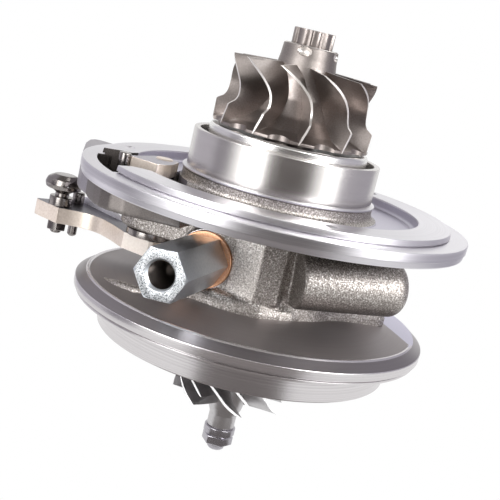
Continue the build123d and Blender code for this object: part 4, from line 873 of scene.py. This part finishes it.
# The rib, as points of its far side with its height above the lever's face
RIB = [(-76.5, 4.6, 1.6), (-74.5, 4.1, 2.5), (-72.2, 3.2, 2.9), (-69.7, 1.9, 3.0), (-66.6, 0.4, 3.0),
       (-63.5, -1.0, 2.8), (-59.8, -2.8, 2.2), (-56.1, -4.7, 1.3), (-52.0, -6.3, 0.2)]
RIB_WIDTH = Vector((-0.9, -1.9))
RIB_ROOT = LEVER_TOP - 0.1
rib_work = bmesh.new()
rib_rows = []
for x, y, height in RIB:
    far = Vector((x, y))
    near = far + RIB_WIDTH
    section = ((*far, RIB_ROOT), (*far, LEVER_TOP + height), (*near, LEVER_TOP + height), (*near, RIB_ROOT))
    rib_rows.append([rib_work.verts.new(p) for p in section])
for here, there in zip(rib_rows, rib_rows[1:]):
    for i in range(4):
        rib_work.faces.new((here[i], here[(i + 1) % 4], there[(i + 1) % 4], there[i]))
rib_work.faces.new(rib_rows[0])
rib_work.faces.new(rib_rows[-1])
lever_rib = break_edges(finish_mesh("control_lever_rib", rib_work), 0.3, 50.0)
# Painted light: the rib is painted pale
dress(lever_rib, RIB_FACE_PAINTED_LIGHT, "lever", "lever_steel")

# Bush, crank arm, its hub and its pin
bush = lathe("lower_lever_bush", soften([
    (SHAFT_HOLE_R, -25.0, 0), (BUSH_FLANGE_R, -25.0, 0.3), (BUSH_FLANGE_R, -22.5, 0.3), (BUSH_R, -22.5, 0.1),
    (BUSH_R, BOSS_BOTTOM + 0.4, 0), (SHAFT_HOLE_R, BOSS_BOTTOM + 0.4, 0),
], 0.0), 96, (LEVER_X, LEVER_Y))
dress(bush, DARK_STEEL, "housing", "dark_steel", "lower_lever_bush")

crank_outline = soften([
    (-44.6, -27.0, 1.0), (-45.2, -29.4, 0.3), (-44.0, -30.9, 0.3), (-38.6, -31.35, 1.5), (-33.6, -32.0, 1.2),
    (-31.9, -29.2, 1.5), (-31.3, -24.6, 2.5), (-32.1, -17.9, 1.0),
], 0.5) + arc((LEVER_X, LEVER_Y), 5.2, 0, 165, 24)
crank = break_edges(prism("crank_arm", crank_outline, CRANK_BOTTOM, CRANK_TOP), 0.3)
dress(crank, LEVER_STEEL, "lever", "lever_steel", "crank_arm")
paint(crank, CRANK_FACE, lambda c, n: n.z > 0.9)
crank_hub = lathe("crank_hub", soften([(0, -8.4), (5.0, -8.4), (5.0, -1.0), (0, -1.0)], 0.2), 64,
                  (LEVER_X, LEVER_Y))
dress(crank_hub, DARK_STEEL, "lever", "lever_steel")
crank_pin = lathe("crank_pin", soften([
    (0, CRANK_BOTTOM, 0), (2.1, CRANK_BOTTOM, 0.1), (2.1, CRANK_TOP + 0.7, 0.6), (0, CRANK_TOP + 0.9, 0),
], 0.0), 64, (CRANK_PIN_X, CRANK_PIN_Y))
dress(crank_pin, DARK_STEEL, "lever", "dark_steel", "crank_pin")

# Ball stud with its domed head and collar, its nut, and the stop pin
stud = lathe("ball_stud", soften([
    (0, -13.3, 0), (3.8, -13.3, 1.5), (6.3, -14.7, 2.0), (7.0, -16.7, 1.6), (6.5, -18.5, 0.9),
    (4.6, -18.9, 0.3), (2.6, -20.2, 0.4), (2.6, -21.5, 0.2), (4.4, -21.6, 0.4), (4.4, LEVER_TOP, 0.4),
    (2.0, LEVER_TOP, 0), (2.0, -35.2, 0.1), (1.6, -35.6, 0.1), (0, -35.6, 0),
], 0.0, 6), 96, (STUD_X, STUD_Y))
dress(stud, DARK_STEEL, "lever", "dark_steel", "ball_stud")
STUD_NUT_R = 3.8
stud_nut_hex = [(STUD_X + x, STUD_Y + y) for x, y in (polar(STUD_NUT_R, 60 * k) for k in range(6))]
stud_nut = break_edges(prism("ball_stud_nut", stud_nut_hex, -34.4, LEVER_BOTTOM), 0.3)
dress(stud_nut, DARK_STEEL, "lever", "dark_steel", "ball_stud_nut")
stop = lathe("stop_pin", soften([
    (0, -20.5, 0), (2.3, -20.5, 0.7), (2.3, LEVER_TOP, 0.2), (1.8, LEVER_TOP, 0), (1.8, -37.3, 0.8),
    (0.9, -38.0, 0.5), (0, -38.0, 0),
], 0.0), 64, (STOP_X, STOP_Y))
dress(stop, DARK_STEEL, "lever", "dark_steel", "stop_pin")

# CAD nodes that no piece stands for get their finish here
NODE_FINISH = {
    "journal_bearing": BRONZE, "bearing_pin": DARK_STEEL, "thrust_bearing": BRONZE,
    "thrust_dowels": DARK_STEEL, "backplate_o_ring": RUBBER, "backplate_screws": DARK_STEEL,
    "turbine_piston_ring": DARK_STEEL, "compressor_piston_ring": DARK_STEEL, "upper_lever_bush": DARK_STEEL,
    "turbine_shaft": NUT_STEEL, "thrust_collar": NICKEL_GROUND_AND_HIGHLIGHT, "oil_flinger": NICKEL_GROUND_AND_HIGHLIGHT,
    "lever_shaft": LEVER_STEEL,
}
for node_name, finish in NODE_FINISH.items():
    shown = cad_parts[node_name]
    shown.data.materials.clear()
    shown.data.materials.append(finish)

# Studio
FLOOR_Z = -101.0
FLOOR_HALF = 1500
CEILING_Z = 600
CEILING_HALF = 600
NEAR_CARDS_R = 165
FAR_CARDS_R = 205
FLAG_R = 110
SKY_STRENGTH = 0.55
WHITE = srgb("#ffffff")


def level_sheet(name, half, z):
    """Square level sheet round the shaft axis."""
    work = bmesh.new()
    corners = ((-half, -half), (half, -half), (half, half), (-half, half))
    work.faces.new([work.verts.new((x, y, z)) for x, y in corners])
    return finish_mesh(name, work)


def seen_white(tree, plain, glow_kind, out):
    """Pure white to the camera, to gloss and through glass; the plain surface to all other light."""
    path = add_node(tree, "ShaderNodeLightPath").outputs
    gloss = add_node(tree, "ShaderNodeMath", {0: path["Is Camera Ray"], 1: path["Is Glossy Ray"]},
                     operation="MAXIMUM")
    clear = add_node(tree, "ShaderNodeMath", {0: gloss.outputs["Value"], 1: path["Is Transmission Ray"]},
                     operation="MAXIMUM")
    glow = add_node(tree, glow_kind, {"Color": WHITE, "Strength": 1.0})
    mix = add_node(tree, "ShaderNodeMixShader", {0: clear.outputs["Value"], 1: plain, 2: glow.outputs[0]})
    tree.links.new(mix.outputs["Shader"], out.inputs["Surface"])


world = bpy.data.worlds.new("studio")
bpy.context.scene.world = world
world.use_nodes = True
sky = world.node_tree
sky.nodes["Background"].inputs["Color"].default_value = WHITE
sky.nodes["Background"].inputs["Strength"].default_value = SKY_STRENGTH
seen_white(sky, sky.nodes["Background"].outputs[0], "ShaderNodeBackground", sky.nodes["World Output"])

floor = level_sheet("studio_floor", FLOOR_HALF, FLOOR_Z)
floor_paint, floor_tree, floor_bsdf = start_material("white_paper_floor", Roughness=0.9)
floor_bsdf.inputs["Base Color"].default_value = srgb("#f7f7f7")
seen_white(floor_tree, floor_bsdf.outputs["BSDF"], "ShaderNodeEmission", floor_tree.nodes["Material Output"])
floor.data.materials.append(floor_paint)


def lamp(name, place, target, size, power):
    """Rectangular soft lamp, placed, sized and aimed in millimetres."""
    light = bpy.data.lights.new(name, "AREA")
    light.shape = "RECTANGLE"
    light.size, light.size_y = size[0] * MM, size[1] * MM
    light.energy = power
    made = bpy.data.objects.new(name, light)
    bpy.context.scene.collection.objects.link(made)
    made.location = Vector(place) * MM
    made.rotation_mode = "QUATERNION"
    made.rotation_quaternion = (Vector(target) - Vector(place)).to_track_quat("-Z", "Y")
    return made


def hang(made, tone):
    """A card's plain tone, which neither the camera nor matt light sees."""
    made.visible_camera = False
    made.visible_diffuse = False
    made.visible_shadow = False
    made.visible_transmission = False
    paper = bpy.data.materials.new(made.name)
    paper.use_nodes = True
    tree = paper.node_tree
    glow = add_node(tree, "ShaderNodeEmission", {"Color": srgb(tone), "Strength": 1.0})
    tree.links.new(glow.outputs["Emission"], tree.nodes["Material Output"].inputs["Surface"])
    made.data.materials.append(paper)
    return made


def card(name, start, end, radius, low, high, tone):
    """Curved card between two azimuths that only reflections see: it gives the metal its bands."""
    work = bmesh.new()
    edges = [[work.verts.new((x, y, z)) for z in (low, high)] for x, y in arc((0, 0), radius, start, end, 12)]
    for here, there in zip(edges, edges[1:]):
        work.faces.new((here[0], there[0], there[1], here[1]))
    return hang(finish_mesh(name, work), tone)


def floor_card(near, far, first, last, tone):
    """Level card just over the floor, a sector between two radii and two azimuths."""
    sector = arc((0, 0), near, first, last, 12) + arc((0, 0), far, last, first, 12)
    return hang(prism("floor_card", sector, FLOOR_Z + 0.5, FLOOR_Z + 0.6), tone)


lamp("key_lamp", (-350, -420, 420), (0, 0, 0), (300, 300), 2.5)
lamp("front_lamp", (*polar(404, -33), 197), (10, -10, -25), (250, 250), 1.9)
lamp("left_softbox", (*polar(300, -105), 95), (0, 0, 40), (140, 390), 0.6)
lamp("right_softbox", (*polar(300, -10), 95), (0, 0, 40), (140, 390), 0.4)
lamp("top_lamp", (60, 260, 470), (0, 0, 0), (300, 300), 0.7)
lamp("lever_lamp", (*polar(190, -165), -58), (-60, -15, -28), (120, 30), 0.006)
card("camera_side_card", -93, -39, NEAR_CARDS_R, -40, 40, "#4f4846")
card("camera_high_card", -93, -39, NEAR_CARDS_R, 40, 80, "#a39d9a")
card("camera_low_card", -95, -39, NEAR_CARDS_R, -100, -40, "#8f8988")
card("left_near_card", -155, -131, FAR_CARDS_R, -100, 200, "#8f8b94")
card("left_far_card", -203, -155, FAR_CARDS_R, -100, 200, "#cac7d0")
card("right_card", -8, 58, FAR_CARDS_R, -75, 200, "#b4b1bb")
floor_card(8, 70, -135, 21, "#837e7c")
floor_card(70, NEAR_CARDS_R, -96, -39, "#767170")
hang(level_sheet("ceiling_card", CEILING_HALF, CEILING_Z), "#8c8987")

# Flag that shades the collar's right side from the front lamp, and that nothing sees
flag_work = bmesh.new()
flag_work.faces.new([flag_work.verts.new((*polar(FLAG_R, a), z)) for a, z in
                     ((-56, 62), (-10, 62), (-10, 150), (-56, 150))])
flag = hang(finish_mesh("flag", flag_work), "#000000")
flag.visible_glossy = False
flag.visible_shadow = True

# Camera, solved from the photo's circles
CAMERA_AT = Vector((103.2, -342.0, 54.9))
CAMERA_AIM = Vector((-3.20, -4.47, -21.84))
CAMERA_ROLL = math.radians(13.446)
PHOTO_WIDTH = 500
FOCAL_PIXELS = 1005.2
camera_data = bpy.data.cameras.new("camera")
camera_data.sensor_width = 36.0
camera_data.lens = FOCAL_PIXELS / PHOTO_WIDTH * camera_data.sensor_width
camera_data.clip_start, camera_data.clip_end = 0.01, 10.0
camera = bpy.data.objects.new("camera", camera_data)
bpy.context.scene.collection.objects.link(camera)
back = (CAMERA_AT - CAMERA_AIM).normalized()
level = Vector((0, 0, 1)).cross(back).normalized()
upright = back.cross(level)
right = math.cos(CAMERA_ROLL) * level + math.sin(CAMERA_ROLL) * upright
up = back.cross(right)
camera.matrix_world = Matrix.Translation(CAMERA_AT * MM) @ Matrix((right, up, back)).transposed().to_4x4()
bpy.context.scene.camera = camera
bpy.context.scene.view_settings.view_transform = "Standard"
